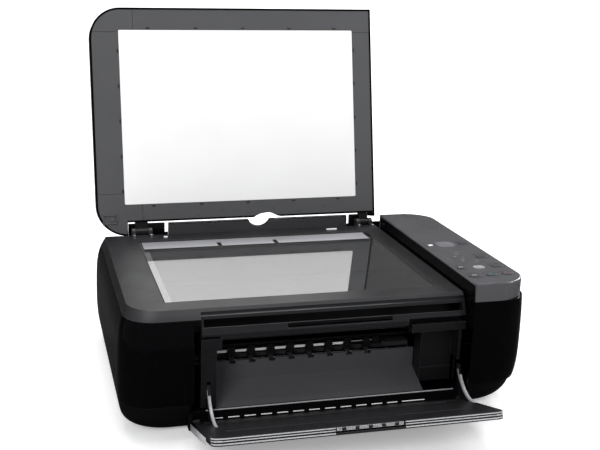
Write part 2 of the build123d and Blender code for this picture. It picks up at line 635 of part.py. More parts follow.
def lid_outline(inset):
    """The lid seen from above: two round left corners and a small step at each rear end."""
    x0 = LID_LEFT + inset
    x1 = LID_RIGHT - inset
    y0 = LID_FRONT + inset
    y1 = LID_REAR - inset
    ear_y = LID_EAR_REAR - inset
    r = LID_CORNER - inset
    step_x = LID_RIGHT - 5.0 + inset
    step_y = LID_REAR + 5.0 - inset
    line = Polyline((x1, y0), (x0 + r, y0)) + RadiusArc((x0 + r, y0), (x0, y0 + r), r)
    line += Line((x0, y0 + r), (x0, ear_y - r))
    line += RadiusArc((x0, ear_y - r), (x0 + r, ear_y), r)
    line += Polyline((x0 + r, ear_y), (x0 + r, y1), (step_x, y1))
    line += Polyline((step_x, y1), (step_x, step_y), (x1, step_y), (x1, y0))
    return make_face(line)


def lid_notch():
    """The round finger notch in the lid's rear edge."""
    radius = (NOTCH_WIDTH ** 2 / 4 + NOTCH_DEPTH ** 2) / (2 * NOTCH_DEPTH)
    return rod_z(NOTCH_X, LID_REAR + radius - NOTCH_DEPTH, (0, FAR), radius)


def opened_lid(shape):
    """A lid piece turned from closed to its open stop."""
    return turned(shape, LID_PIVOT_Y, LID_PIVOT_Z, -LID_OPEN)


def lid_shell():
    """The outer skin of the lid with its rim."""
    top = LID_BOTTOM + LID_THICKNESS
    skin = extrude(Pos(0, 0, LID_BOTTOM) * lid_outline(0), amount=LID_THICKNESS)
    skin = fillet(skin.faces().sort_by(Axis.Z)[-1].edges(), 2.0)
    skin -= extrude(Pos(0, 0, LID_BOTTOM - 1) * lid_outline(LID_WALL), amount=LID_THICKNESS - LID_WALL + 1)
    return opened_lid(skin - lid_notch())


def mat_range():
    """X and Y of the white mat on the closed lid."""
    x = (LID_LEFT + MAT_MARGIN_LEFT, LID_RIGHT - MAT_MARGIN_RIGHT)
    y = (LID_FRONT + MAT_MARGIN_FRONT, LID_REAR - MAT_MARGIN_REAR)
    return x, y


def lid_inner_frame():
    """The grey panel inside the lid, with the pocket of the mat and its moulded seams."""
    bottom = LID_BOTTOM + 0.5
    panel = extrude(Pos(0, 0, bottom) * lid_outline(LID_WALL + 0.2), amount=9.0)
    x, y = mat_range()
    panel -= block((x[0] - 0.3, x[1] + 0.3), (y[0] - 0.3, y[1] + 0.3), (0, bottom + MAT_THICKNESS))
    deep = bottom + 0.7
    seam = 0.9
    panel -= block((x[0] + 18, x[0] + 18 + seam), (-FAR, y[0] - 0.3), (0, deep))
    panel -= block((x[0] + 22, x[0] + 22 + seam), (y[1] + 0.3, FAR), (0, deep))
    panel -= block((-FAR, x[0] - 0.3), (y[1] - 14.0, y[1] - 14.0 + seam), (0, deep))
    panel -= block((-FAR, x[0] - 0.3), (y[0] + 2.0, y[0] + 2.0 + seam), (0, deep))
    panel -= block((x[1] + 0.3, FAR), (y[0] + 2.0, y[0] + 2.0 + seam), (0, deep))
    return opened_lid(panel - lid_notch())


def lid_mat():
    """The white sheet with its foam back that presses paper on the glass."""
    x, y = mat_range()
    bottom = LID_BOTTOM + 0.5
    return opened_lid(rounded_plate(x, y, (bottom - MAT_PROUD, bottom + MAT_THICKNESS - 0.1), 1.5))


def lid_hinge_arms():
    """Two arms on the lid's rear edge, each with a barrel and two pin ends."""
    arms = []
    for arm in LID_ARMS:
        shape = block(arm, (LID_REAR + 0.3, LID_PIVOT_Y), (LID_PIVOT_Z - 0.6, LID_PIVOT_Z + 5.5))
        shape += rod_x(arm, LID_PIVOT_Y, LID_PIVOT_Z, LID_BARREL_RADIUS)
        ends = (arm[0] - LUG_WIDTH, arm[1] + LUG_WIDTH)
        shape += rod_x(ends, LID_PIVOT_Y, LID_PIVOT_Z, LID_PIN_RADIUS)
        arms.append(opened_lid(shape))
    return group(arms)


# ---- Output tray, drawn closed ----

def opened_tray(shape):
    """A tray piece turned from closed to its open stop."""
    return turned(shape, TRAY_PIVOT_Y, TRAY_PIVOT_Z, TRAY_OPEN)


def output_tray():
    """The front flap: a rimmed plate with its hinge pins and two curved side arms."""
    inner = TRAY_PIVOT_Y - TRAY_INNER
    outer = inner - TRAY_THICKNESS
    bottom = TRAY_PIVOT_Z - TRAY_END
    top = TRAY_PIVOT_Z + TRAY_LENGTH
    x = (TRAY_LEFT, TRAY_RIGHT)
    middle = Pos((x[0] + x[1]) / 2, (bottom + top) / 2)
    face = Plane.XZ.offset(-outer) * middle * RectangleRounded(x[1] - x[0], top - bottom, 9.0)
    square = block(x, (outer, inner), (bottom, bottom + 12.0))
    plate = extrude(face, amount=-TRAY_THICKNESS) + square
    plate -= block((x[0] + 9, x[1] - 9), (outer + TRAY_SKIN, FAR), (bottom + 12.0, top - 7.0))
    plate += block((x[0] + 8, x[1] - 8), (inner - 2.4, inner - 0.2), (bottom + 11.0, top - 6.0))
    for arm_x in TRAY_ARMS:
        plate += tray_arm((arm_x, arm_x + TRAY_ARM_WIDTH))
    for end_x in (x[0], x[1] - 6.0):
        plate += rod_x((end_x, end_x + 6.0), TRAY_PIVOT_Y, TRAY_PIVOT_Z, TRAY_PIN_RADIUS)
    plate += rod_x((x[0] - 4.5, x[0] + 1.0), TRAY_PIVOT_Y, TRAY_PIVOT_Z, TRAY_PIN_RADIUS)
    plate += rod_x((x[1] - 1.0, x[1] + 5.5), TRAY_PIVOT_Y, TRAY_PIVOT_Z, TRAY_PIN_RADIUS)
    plate -= flap_box(0.5)
    pin = rod_x((FLAP_LEFT - 1, FLAP_LEFT + 4.0), *flap_pivot(), 1.2)
    pin += rod_x((FLAP_RIGHT - 4.0, FLAP_RIGHT + 1), *flap_pivot(), 1.2)
    return opened_tray(plate + pin)


def tray_arm(x):
    """A curved arm that swings into the body as the tray closes."""
    y = TRAY_PIVOT_Y
    z = TRAY_PIVOT_Z
    tip_y = y + TRAY_ARM_REACH
    outline = Polyline((y - 1.0, z - 2.0), (tip_y - 8.0, z - 3.0), (tip_y, z - 1.0), (tip_y - 1.0, z + 4.0))
    hollow = ThreePointArc((tip_y - 1.0, z + 4.0), (y + 12.0, z + 13.0), (y - 1.0, z + 40.0))
    face = Plane.YZ.offset(x[0]) * make_face(outline + hollow + Line((y - 1.0, z + 40.0), (y - 1.0, z - 2.0)))
    return extrude(face, amount=x[1] - x[0], dir=(1, 0, 0))


def flap_pivot():
    """Y and Z of the extension flap's hinge on the closed tray."""
    return TRAY_PIVOT_Y - TRAY_INNER - 2.6, TRAY_PIVOT_Z + TRAY_LENGTH - 3.4


def flap_box(gap):
    """The room of the extension flap in the closed tray."""
    y, z = flap_pivot()
    return block((FLAP_LEFT - gap, FLAP_RIGHT + gap), (y - 2.6 - gap, FAR), (z - FLAP_LENGTH - gap, FAR))


def tray_extension():
    """The small flap at the tray's edge that swings out to carry long sheets."""
    y, z = flap_pivot()
    flap = block((FLAP_LEFT, FLAP_RIGHT), (y - 2.4, y + 2.4), (z - FLAP_LENGTH, z))
    flap += rod_x((FLAP_LEFT, FLAP_RIGHT), y, z, 2.4)
    flap -= rod_x((FLAP_LEFT - 1, FLAP_LEFT + 4.4), y, z, 1.2 + RUNNING)
    flap -= rod_x((FLAP_RIGHT - 4.4, FLAP_RIGHT + 1), y, z, 1.2 + RUNNING)
    return opened_tray(flap)


# ---- Rear paper support ----

def paper_support():
    """The panel that folds back behind the paper slot, hollow for its extension."""
    x = (SUPPORT_LEFT, SUPPORT_RIGHT)
    panel = block(x, (SUPPORT_FRONT, SUPPORT_BACK), (SUPPORT_BOTTOM, SUPPORT_TOP))
    panel = fillet(panel.edges().filter_by(Axis.X).group_by(Axis.Z)[-1], 3.0)
    cavity_y = (SUPPORT_FRONT + 2.2, SUPPORT_BACK - 2.2)
    panel -= block((EXTENSION_LEFT - 0.5, EXTENSION_RIGHT + 0.5), cavity_y, (SUPPORT_BOTTOM + 14.0, FAR))
    grip = rod_y((EXTENSION_LEFT + EXTENSION_RIGHT) / 2, (0, FAR), SUPPORT_TOP + 6.0, 16.0)
    panel -= grip
    for side in (-1, 1):
        near = guide_middle() + side * (GUIDE_X - GUIDE_TRAVEL - 2.8)
        far = guide_middle() + side * (GUIDE_X + GUIDE_THICKNESS + 2.8)
        groove_x = (min(near, far), max(near, far))
        groove_z = (SUPPORT_BOTTOM + 17.5, SUPPORT_BOTTOM + 24.5)
        panel -= block(groove_x, (SUPPORT_FRONT - 1, SUPPORT_FRONT + 1.6), groove_z)
    pins = rod_x((x[0] - 3.6, x[0] + 1), SUPPORT_PIVOT_Y, SUPPORT_PIVOT_Z, SUPPORT_PIN_RADIUS)
    pins += rod_x((x[1] - 1, x[1] + 3.6), SUPPORT_PIVOT_Y, SUPPORT_PIVOT_Z, SUPPORT_PIN_RADIUS)
    return panel + pins


def support_extension():
    """The sheet that pulls up out of the paper support."""
    x = (EXTENSION_LEFT, EXTENSION_RIGHT)
    y = (SUPPORT_FRONT + 2.5, SUPPORT_BACK - 2.5)
    sheet = block(x, y, (SUPPORT_BOTTOM + 16.0, SUPPORT_TOP - 12.0))
    for row in range(4):
        z = SUPPORT_TOP - 18.0 - 9.0 * row
        sheet -= block((x[0] + 10, x[1] - 10), (y[0] - 1, y[0] + 0.8), (z - 1.5, z + 1.5))
    return sheet


def guide_middle():
    """The middle X of the paper slot."""
    return (SUPPORT_LEFT + SUPPORT_RIGHT) / 2


def paper_guide(side):
    """One edge guide: a fin with a foot that slides in the support's groove."""
    inner = guide_middle() + side * GUIDE_X
    outer = inner + side * GUIDE_THICKNESS
    x = (min(inner, outer), max(inner, outer))
    fin = block(x, (SUPPORT_FRONT - 9.0, SUPPORT_FRONT - 0.4), (SUPPORT_BOTTOM + 15.0, SUPPORT_BOTTOM + 52.0))
    foot_x = (x[0] - 2.0, x[1] + 2.0)
    foot_z = (SUPPORT_BOTTOM + 18.0, SUPPORT_BOTTOM + 24.0)
    foot = block(foot_x, (SUPPORT_FRONT - 2.4, SUPPORT_FRONT + 1.3), foot_z)
    return fin + foot


# ---- Print mechanism ----

def idler_teeth():
    """Teeth of the large idler that bridges the feed roller and the output roller."""
    distance = FEED_Y - OUTPUT_Y
    return 2 * round((distance - FEED_TEETH * GEAR_MODULE) / (2 * GEAR_MODULE))


def output_roller_y():
    """The output shaft stands where its gear meets the idler."""
    return FEED_Y - (FEED_TEETH + idler_teeth()) * GEAR_MODULE


def pinion_place():
    """Y and Z of the motor pinion, which meets the feed gear from below."""
    distance = (FEED_TEETH + PINION_TEETH) * GEAR_MODULE / 2
    angle = radians(PINION_ANGLE)
    return FEED_Y + distance * cos(angle), ROLLER_Z + distance * sin(angle)


def gear(teeth, y, z, start, bore):
    """A spur gear with straight-sided teeth; start is the angle of its first tooth."""
    pitch = teeth * GEAR_MODULE / 2
    root = pitch - 1.15 * GEAR_MODULE
    tip = pitch + 0.85 * GEAR_MODULE
    step = 2 * pi / teeth
    points = []
    for tooth in range(teeth):
        middle = radians(start) + tooth * step
        for share, radius in ((-0.33, root), (-0.11, tip), (0.11, tip), (0.33, root)):
            angle = middle + share * step
            points.append((y + radius * cos(angle), z + radius * sin(angle)))
    x = (GEAR_X, GEAR_X + GEAR_WIDTH)
    wheel = prism_x(points, x)
    if pitch > 15.0:
        ring = rod_x((x[0] - 1, x[0] + 2.0), y, z, root - 2.5) - rod_x((x[0] - 2, x[0] + 3), y, z, 7.0)
        wheel -= ring
    return wheel - rod_x((x[0] - 1, x[1] + 1), y, z, bore)


def chassis_frame():
    """The pressed steel frame: a back wall with a folded top and two side cheeks."""
    wide = (CHASSIS_LEFT, CHASSIS_RIGHT)
    back = block(wide, (CHASSIS_BACK, CHASSIS_BACK + SHEET), (CHASSIS_BOTTOM, CHASSIS_TOP))
    fold = block(wide, (CHASSIS_BACK - 7.0, CHASSIS_BACK), (CHASSIS_TOP - SHEET, CHASSIS_TOP))
    frame = back + fold
    floor = FOOT_HEIGHT + WALL + 0.1
    for x in (CHASSIS_LEFT, CHASSIS_RIGHT - SHEET):
        cheek = block((x, x + SHEET), (CHASSIS_FRONT, CHASSIS_BACK), (CHASSIS_BOTTOM, ROLLER_Z + 36.0))
        arm = block((x, x + SHEET), (CHASSIS_BACK, PICKUP_Y + 8.0), (PICKUP_Z - 9.0, PICKUP_Z + 9.0))
        leg = block((x, x + SHEET), (CHASSIS_FRONT + 10.0, CHASSIS_BACK), (floor, CHASSIS_BOTTOM))
        foot = block((x - 8.0, x + SHEET), (-20.0, 20.0), (floor, floor + SHEET))
        frame += cheek + arm + leg + foot
    reach = (CHASSIS_LEFT - 1, CHASSIS_RIGHT + 1)
    pinion_y, pinion_z = pinion_place()
    frame -= rod_x(reach, FEED_Y, ROLLER_Z, 3.0 + RUNNING)
    frame -= rod_x(reach, output_roller_y(), ROLLER_Z, OUTPUT_SHAFT_RADIUS + RUNNING)
    frame -= rod_x(reach, PICKUP_Y, PICKUP_Z, 3.0 + RUNNING)
    frame -= rod_x(reach, GUIDE_SHAFT_Y, GUIDE_SHAFT_Z, GUIDE_SHAFT_RADIUS)
    frame -= rod_x((CHASSIS_LEFT - 1, CHASSIS_LEFT + 5), pinion_y, pinion_z, 4.0)
    frame += rod_x((GEAR_X - 1.5, CHASSIS_LEFT + 0.5), idler_y(), ROLLER_Z, 2.5)
    frame += rod_y(pulley_x()[0], (BELT_Y - 4.0, CHASSIS_BACK + 0.5), BELT_Z, 2.0)
    frame -= rod_y(pulley_x()[1], (CHASSIS_BACK - 1, CHASSIS_BACK + 5), BELT_Z, 4.0)
    for step in range(7):
        x = CHASSIS_LEFT + 40.0 + 48.0 * step
        frame -= block((x, x + 26.0), (CHASSIS_BACK - 1, CHASSIS_BACK + 5), (52.0, 70.0))
    return frame


def idler_y():
    """Y of the idler gear's stud."""
    return (FEED_Y + output_roller_y()) / 2


def pulley_x():
    """X of the idler pulley on the left and of the drive pulley on the right."""
    return CHASSIS_LEFT + 16.0, CHASSIS_RIGHT - 14.0


def carriage_guide_shaft():
    """The polished bar that the print carriage runs on."""
    return rod_x((CHASSIS_LEFT - 1.5, CHASSIS_RIGHT + 1.5), GUIDE_SHAFT_Y, GUIDE_SHAFT_Z, GUIDE_SHAFT_RADIUS)


def carriage_belt():
    """The toothed belt's two straight runs joined round both pulleys."""
    left, right = pulley_x()
    outer = PULLEY_RADIUS + BELT_THICKNESS + 0.1
    inner = PULLEY_RADIUS + 0.1
    shapes = []
    for radius in (outer, inner):
        slot = block((left, right), (BELT_Y, BELT_Y + BELT_WIDTH), (BELT_Z - radius, BELT_Z + radius))
        slot += rod_y(left, (BELT_Y, BELT_Y + BELT_WIDTH), BELT_Z, radius)
        slot += rod_y(right, (BELT_Y, BELT_Y + BELT_WIDTH), BELT_Z, radius)
        shapes.append(slot)
    return shapes[0] - shapes[1]


def pulley(x, bore, shaft_end):
    """A flanged belt pulley; the driven one carries the motor's shaft."""
    wheel = rod_y(x, (BELT_Y - 1.5, BELT_Y + BELT_WIDTH + 1.5), BELT_Z, PULLEY_RADIUS)
    for y in (BELT_Y - 2.5, BELT_Y + BELT_WIDTH + 0.4):
        wheel += rod_y(x, (y, y + 1.2), BELT_Z, PULLEY_RADIUS + 2.2)
    if bore:
        return wheel - rod_y(x, (BELT_Y - 10, BELT_Y + 20), BELT_Z, bore)
    return wheel + rod_y(x, (BELT_Y, shaft_end), BELT_Z, 1.5)


def carriage_motor():
    """The motor behind the chassis that turns the drive pulley."""
    x = pulley_x()[1]
    y = (CHASSIS_BACK + SHEET, CHASSIS_BACK + SHEET + 30.0)
    can = rod_y(x, y, BELT_Z - 1.0, 11.0)
    return can - rod_y(x, (y[0] - 1, y[0] + 16.0), BELT_Z, 1.5 + RUNNING)


def feed_motor():
    """The motor inside the left cheek that turns the paper rollers."""
    y, z = pinion_place()
    x = (CHASSIS_LEFT + SHEET + 0.1, CHASSIS_LEFT + SHEET + 26.0)
    can = rod_x(x, y, z, 13.0)
    return can - rod_x((x[0] - 1, x[0] + 14.0), y, z, 1.5 + RUNNING)


def motor_pinion():
    """The small gear with the feed motor's shaft."""
    y, z = pinion_place()
    wheel = gear(PINION_TEETH, y, z, 180.0 / PINION_TEETH, 1.0)
    return wheel + rod_x((GEAR_X, CHASSIS_LEFT + SHEET + 12.0), y, z, 1.5)


def feed_roller():
    """The main roller: a steel shaft with a coated middle."""
    shaft = rod_x((GEAR_X, CHASSIS_RIGHT + 2.0), FEED_Y, ROLLER_Z, 3.0)
    return shaft + rod_x((CHASSIS_LEFT + 8.0, CARRIAGE_HOME - 40.0), FEED_Y, ROLLER_Z, FEED_RADIUS)


def feed_gear():
    """The gear on the feed roller's left end."""
    return gear(FEED_TEETH, FEED_Y, ROLLER_Z, 0.0, 3.0)


def idler_gear():
    """The large gear between the feed roller and the output roller."""
    return gear(idler_teeth(), idler_y(), ROLLER_Z, 180.0 / idler_teeth(), 2.5 + RUNNING)


def output_gear():
    """The gear on the output shaft's left end."""
    return gear(FEED_TEETH, output_roller_y(), ROLLER_Z, 0.0, OUTPUT_SHAFT_RADIUS)


def output_shaft():
    """The thin steel shaft across the paper exit."""
    return rod_x((GEAR_X, CHASSIS_RIGHT + 2.0), output_roller_y(), ROLLER_Z, OUTPUT_SHAFT_RADIUS)


def output_tyres():
    """Rubber tyres on the output shaft, one under each star wheel."""
    tyres = []
    for step in range(STAR_COUNT):
        x = STAR_FIRST_X + STAR_PITCH * (step + 0.5)
        tyre = rod_x((x - 2.8, x + 2.8), output_roller_y(), ROLLER_Z, FEED_RADIUS - 0.3)
        tyres.append(tyre - rod_x((x - 4, x + 4), output_roller_y(), ROLLER_Z, OUTPUT_SHAFT_RADIUS))
    return group(tyres)


def star_wheels():
    """The holder bar over the paper exit with its thin axle and small wheels."""
    y = output_roller_y()
    x = (STAR_FIRST_X - 16.0, PANEL_LEFT - 44.0)
    bar = block(x, (y - 2.0, y + 10.0), (PAPER_Z + 11.0, PAPER_Z + 14.0))
    for step in range(STAR_COUNT):
        middle = STAR_FIRST_X + STAR_PITCH * (step + 0.5)
        bar += block((middle - 4.0, middle + 4.0), (y - 5.0, y + 4.0), (PAPER_Z + 1.2, PAPER_Z + 12.0))
    for end in (STAR_FIRST_X - 16.0, STAR_FIRST_X + STAR_PITCH * STAR_COUNT - 4.0):
        bar += block((end, end + 8.0), (y - 5.0, y + 4.0), (PAPER_Z + 3.0, PAPER_Z + 12.0))
    axle = rod_x((STAR_FIRST_X - 12.0, STAR_FIRST_X + STAR_PITCH * STAR_COUNT), y - 1.5, PAPER_Z + 7.0, 1.8)
    return bar - axle


def star_axle():
    """The bright axle that shows between the holders of the star wheels."""
    y = output_roller_y()
    return rod_x((STAR_FIRST_X - 12.0, STAR_FIRST_X + STAR_PITCH * STAR_COUNT), y - 1.5, PAPER_Z + 7.0, 1.8)


def platen():
    """The ribbed table under the print head."""
    x = (CHASSIS_LEFT + 12.0, CARRIAGE_HOME - 42.0)
    y = (output_roller_y() + FEED_RADIUS + 3.0, FEED_Y - FEED_RADIUS - 2.0)
    table = block(x, y, (PAPER_Z - 8.0, PAPER_Z - 2.0))
    count = int((x[1] - x[0] - 8.0) // STAR_PITCH)
    for rib in range(count):
        rib_x = x[0] + 8.0 + STAR_PITCH * rib
        table += block((rib_x, rib_x + 2.0), y, (PAPER_Z - 3.0, PAPER_Z - 0.6))
    for leg_x in (x[0], (x[0] + x[1]) / 2, x[1] - 6.0):
        table += block((leg_x, leg_x + 6.0), (y[0], y[0] + 20.0), (10.5, PAPER_Z - 8.0))
    return table


def pinch_rollers():
    """Spring-loaded holders with the small rollers that press paper on the feed roller."""
    holders = []
    x0 = CHASSIS_LEFT + 20.0
    for step in range(4):
        x = x0 + 62.0 * step
        if x + 50.0 < CARRIAGE_HOME - 40.0:
            arm = prism_x(
                ((FEED_Y - 2.0, PAPER_Z + 0.8), (FEED_Y + 8.0, PAPER_Z + 1.2),
                 (CHASSIS_BACK - 0.3, PAPER_Z + 1.8), (CHASSIS_BACK - 0.3, PAPER_Z + 3.6),
                 (FEED_Y, PAPER_Z + 2.4)),
                (x, x + 50.0),
            )
            holders.append(arm)
    return group(holders)


def cap_sled():
    """The sled at the home position that seals the print heads with two soft caps."""
    x = (CARRIAGE_HOME - 32.0, CARRIAGE_HOME + 32.0)
    y = (CARRIAGE_FRONT + 8.0, FEED_Y - FEED_RADIUS - 4.0)
    sled = block(x, y, (PAPER_Z - 16.0, PAPER_Z - 6.0))
    for side in (-16.0, 16.0):
        cup_x = (CARRIAGE_HOME + side - 9.0, CARRIAGE_HOME + side + 9.0)
        cup = block(cup_x, (y[0] + 8.0, y[1] - 8.0), (PAPER_Z - 7.0, PAPER_Z - 2.0))
        cup -= block((cup_x[0] + 2, cup_x[1] - 2), (y[0] + 10, y[1] - 10), (PAPER_Z - 5.0, PAPER_Z))
        sled += cup
    return sled


def carriage_bounds():
    """X and Y of the print carriage at its home position."""
    x = (CARRIAGE_HOME - CARRIAGE_WIDTH / 2, CARRIAGE_HOME + CARRIAGE_WIDTH / 2)
    return x, (CARRIAGE_FRONT, GUIDE_SHAFT_Y + 9.0)


CARTRIDGE_WIDTH = 29.0
CARTRIDGE_GAP = 4.0


def cartridge_ranges():
    """X of the black cartridge on the left and of the colour cartridge on the right."""
    half = CARTRIDGE_GAP / 2
    black = (CARRIAGE_HOME - half - CARTRIDGE_WIDTH, CARRIAGE_HOME - half)
    colour = (CARRIAGE_HOME + half, CARRIAGE_HOME + half + CARTRIDGE_WIDTH)
    return black, colour


def print_carriage():
    """The moving holder of the two cartridges, with its bore and its belt clamp."""
    x, y = carriage_bounds()
    body = block(x, y, (CARRIAGE_BOTTOM, CARRIAGE_TOP))
    for pocket_x in cartridge_ranges():
        pocket = (pocket_x[0] - 0.3, pocket_x[1] + 0.3)
        body -= block(pocket, (y[0] - 1, y[0] + 52.3), (CARRIAGE_BOTTOM + 3.0, FAR))
        body -= block((pocket[0] + 5, pocket[1] - 5), (y[0] + 8, y[0] + 34), (0, FAR))
    bore = rod_x((x[0] - 1, x[1] + 1), GUIDE_SHAFT_Y, GUIDE_SHAFT_Z, GUIDE_SHAFT_RADIUS + RUNNING)
    lower_run = BELT_Z - PULLEY_RADIUS - BELT_THICKNESS / 2 - 0.1
    clamp_x = (CARRIAGE_HOME - 8.0, CARRIAGE_HOME + 8.0)
    clamp = block(clamp_x, (y[1] - 1.0, BELT_Y + BELT_WIDTH - 1.0), (lower_run - 3.4, lower_run + 3.4))
    clamp -= block((clamp_x[0] - 1, clamp_x[1] + 1), (BELT_Y - 0.4, FAR), (lower_run - 1.0, lower_run + 1.0))
    return body - bore + clamp


def cartridge(x):
    """One ink cartridge: a stepped tank with its print head below."""
    y0 = CARRIAGE_FRONT + 0.3
    z0 = CARRIAGE_BOTTOM + 3.2
    tank = block(x, (y0, y0 + 51.5), (z0, CARRIAGE_TOP - 1.0))
    tank -= block((x[0] - 1, x[1] + 1), (y0 - 1, y0 + 6.0), (CARRIAGE_TOP - 8.0, FAR))
    head = block((x[0] + 5.2, x[1] - 5.2), (y0 + 8.2, y0 + 33.2), (CARRIAGE_BOTTOM - 1.5, z0))
    return tank + head


def pickup_roller():
    """The rubber roller on its shaft that takes a sheet from the rear slot."""
    shaft = rod_x((CHASSIS_LEFT - 2.0, CHASSIS_RIGHT + 2.0), PICKUP_Y, PICKUP_Z, 3.0)
    return shaft + rod_x((-32.0, 26.0), PICKUP_Y, PICKUP_Z, PICKUP_RADIUS)


def logic_board():
    """The main circuit board with its chips and connectors."""
    x = (CHASSIS_LEFT + 20.0, -10.0)
    y = (CHASSIS_BACK - 70.0, CHASSIS_BACK + 30.0)
    board = block(x, y, (12.0, 13.6))
    board += block((x[0] + 40, x[0] + 64), (y[0] + 30, y[0] + 54), (13.6, 16.0))
    board += block((x[0] + 90, x[0] + 106), (y[0] + 20, y[0] + 32), (13.6, 15.6))
    for step in range(4):
        board += block((x[0] + 8 + 30 * step, x[0] + 24 + 30 * step), (y[1] - 10, y[1] - 4), (13.6, 21.0))
    for leg_x in (x[0] + 3, x[1] - 9):
        for leg_y in (y[0] + 3, y[1] - 18):
            board += block((leg_x, leg_x + 6), (leg_y, leg_y + 6), (FOOT_HEIGHT + WALL + 0.1, 12.0))
    return board


def power_supply():
    """The closed power brick at the right rear."""
    z0 = FOOT_HEIGHT + WALL + 0.1
    brick = block((70.0, 156.0), (CHASSIS_BACK - 75.0, CHASSIS_BACK + 45.0), (10.6, 38.0))
    for x in (74.0, 146.0):
        brick += block((x, x + 6.0), (CHASSIS_BACK + 30.0, CHASSIS_BACK + 40.0), (z0, 10.6))
    return fillet(brick.edges().filter_by(Axis.Z).group_by(Axis.X)[0], 2.0)


# ---- Writing the pieces ----

def plan_middle():
    """Y of the middle of the plan, between the open tray's edge and the open lid's edge."""
    lean = radians(LID_OPEN - 90.0)
    lid_length = LID_PIVOT_Y - LID_FRONT
    lid_back = LID_PIVOT_Y + lid_length * sin(lean) + (LID_BOTTOM + LID_THICKNESS - LID_PIVOT_Z) * cos(lean)
    tilt = radians(90.0 - TRAY_OPEN)
    tray_front = TRAY_PIVOT_Y - TRAY_LENGTH * cos(tilt) - (TRAY_INNER + TRAY_THICKNESS) * sin(tilt)
    return (lid_back + tray_front) / 2


def all_pieces():
    """Every piece by its node name."""
    black, colour = cartridge_ranges()
    left, right = pulley_x()
    pieces = {
        "bottom_case": bottom_case(), "rubber_feet": rubber_feet(),
        "left_side_cover": left_side_cover(), "right_side_cover": right_side_cover(),
        "rear_cover": rear_cover(), "rear_sockets": rear_sockets(),
        "front_frame": front_frame(), "output_guide": output_guide(),
        "control_panel": control_panel(), "display_window": display_window(),
        "scanner_case": scanner_case(), "scanner_top_frame": scanner_top_frame(),
        "scanner_fascia": scanner_fascia(), "scanner_glass": scanner_glass(),
        "scan_bar": scan_bar(), "scan_rail": scan_rail(), "support_arm": support_arm(),
        "lid_shell": lid_shell(), "lid_inner_frame": lid_inner_frame(),
        "lid_mat": lid_mat(), "lid_hinge_arms": lid_hinge_arms(),
        "output_tray": output_tray(), "tray_extension": tray_extension(),
        "paper_support": paper_support(), "support_extension": support_extension(),
        "left_paper_guide": paper_guide(-1), "right_paper_guide": paper_guide(1),
        "chassis_frame": chassis_frame(), "carriage_guide_shaft": carriage_guide_shaft(),
        "carriage_belt": carriage_belt(), "idler_pulley": pulley(left, 2.0 + RUNNING, 0),
        "drive_pulley": pulley(right, 0, CHASSIS_BACK + SHEET + 14.0),
        "carriage_motor": carriage_motor(), "feed_motor": feed_motor(),
        "motor_pinion": motor_pinion(), "feed_roller": feed_roller(), "feed_gear": feed_gear(),
        "idler_gear": idler_gear(), "output_gear": output_gear(), "output_shaft": output_shaft(),
        "output_tyres": output_tyres(), "star_wheels": star_wheels(), "star_axle": star_axle(),
        "platen": platen(), "pinch_rollers": pinch_rollers(), "cap_sled": cap_sled(),
        "print_carriage": print_carriage(), "black_cartridge": cartridge(black),
        "colour_cartridge": cartridge(colour), "pickup_roller": pickup_roller(),
        "logic_board": logic_board(), "power_supply": power_supply(),
    }
    for key in KEYS:
        pieces[key[0]] = panel_key(key)
    return pieces


def main():
    """Writes each piece to its own file, with the origin at the middle of the plan."""
    os.makedirs("parts", exist_ok=True)
    shift = -plan_middle()
    for name, shape in all_pieces().items():
        export_step(Pos(0, shift, 0) * shape, f"parts/{name}.step")
    print("moved along Y by", round(shift, 3))
    print("feed and output shafts", FEED_Y + shift, output_roller_y() + shift, "z", ROLLER_Z)
    print("idler stud", idler_y() + shift, "pinion", pinion_place(), "teeth", idler_teeth())


if __name__ == "__main__":
    main()
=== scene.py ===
# %% [markdown]
# # Finishes and small pieces of a flat-bed inkjet printer
# The engineering model already holds every case, lid, roller and key at its true place. What is
# left for this file is what the eye reads as "real": the skins of the plastics, the glass, the
# bright trims, the printed marks and the many small pieces too fine to be worth a joint.
# The model is loaded first and never moved; each new piece takes its place from it.

# %% Load the engineering model
import json
from math import cos, pi, radians, sin

import bmesh
import bpy
from mathutils import Matrix, Vector


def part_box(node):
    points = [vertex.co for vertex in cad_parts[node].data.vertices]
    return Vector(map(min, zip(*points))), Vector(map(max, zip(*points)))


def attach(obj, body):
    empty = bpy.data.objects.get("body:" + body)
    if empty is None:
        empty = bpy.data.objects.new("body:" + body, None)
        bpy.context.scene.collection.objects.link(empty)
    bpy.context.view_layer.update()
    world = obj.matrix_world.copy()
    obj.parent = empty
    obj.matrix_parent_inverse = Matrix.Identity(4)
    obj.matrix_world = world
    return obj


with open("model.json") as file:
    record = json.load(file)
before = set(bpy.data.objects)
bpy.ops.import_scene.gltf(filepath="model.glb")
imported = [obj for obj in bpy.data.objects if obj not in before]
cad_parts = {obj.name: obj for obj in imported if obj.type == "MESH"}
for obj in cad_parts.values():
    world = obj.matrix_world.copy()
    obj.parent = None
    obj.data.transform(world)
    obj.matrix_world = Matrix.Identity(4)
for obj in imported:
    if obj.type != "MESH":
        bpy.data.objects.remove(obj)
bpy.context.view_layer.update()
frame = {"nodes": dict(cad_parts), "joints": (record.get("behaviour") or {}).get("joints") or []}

MM = 0.001
joints = {joint["name"]: joint for joint in frame["joints"]}

# %% [markdown]
# ## Colours
# A listed colour is an sRGB code, while the renderer adds light in linear values. One function does
# the change, so that every finish below can be written as the code a painter would quote.

# %% Turn a colour code into linear values


def colour(code):
    """Linear red, green, blue and full cover from a code such as "1a1b1c"."""
    channels = [int(code[place:place + 2], 16) / 255 for place in (0, 2, 4)]
    linear = [c / 12.92 if c <= 0.04045 else ((c + 0.055) / 1.055) ** 2.4 for c in channels]
    return (*linear, 1.0)


print("mid grey is", round(colour("808080")[0], 3), "in linear light")

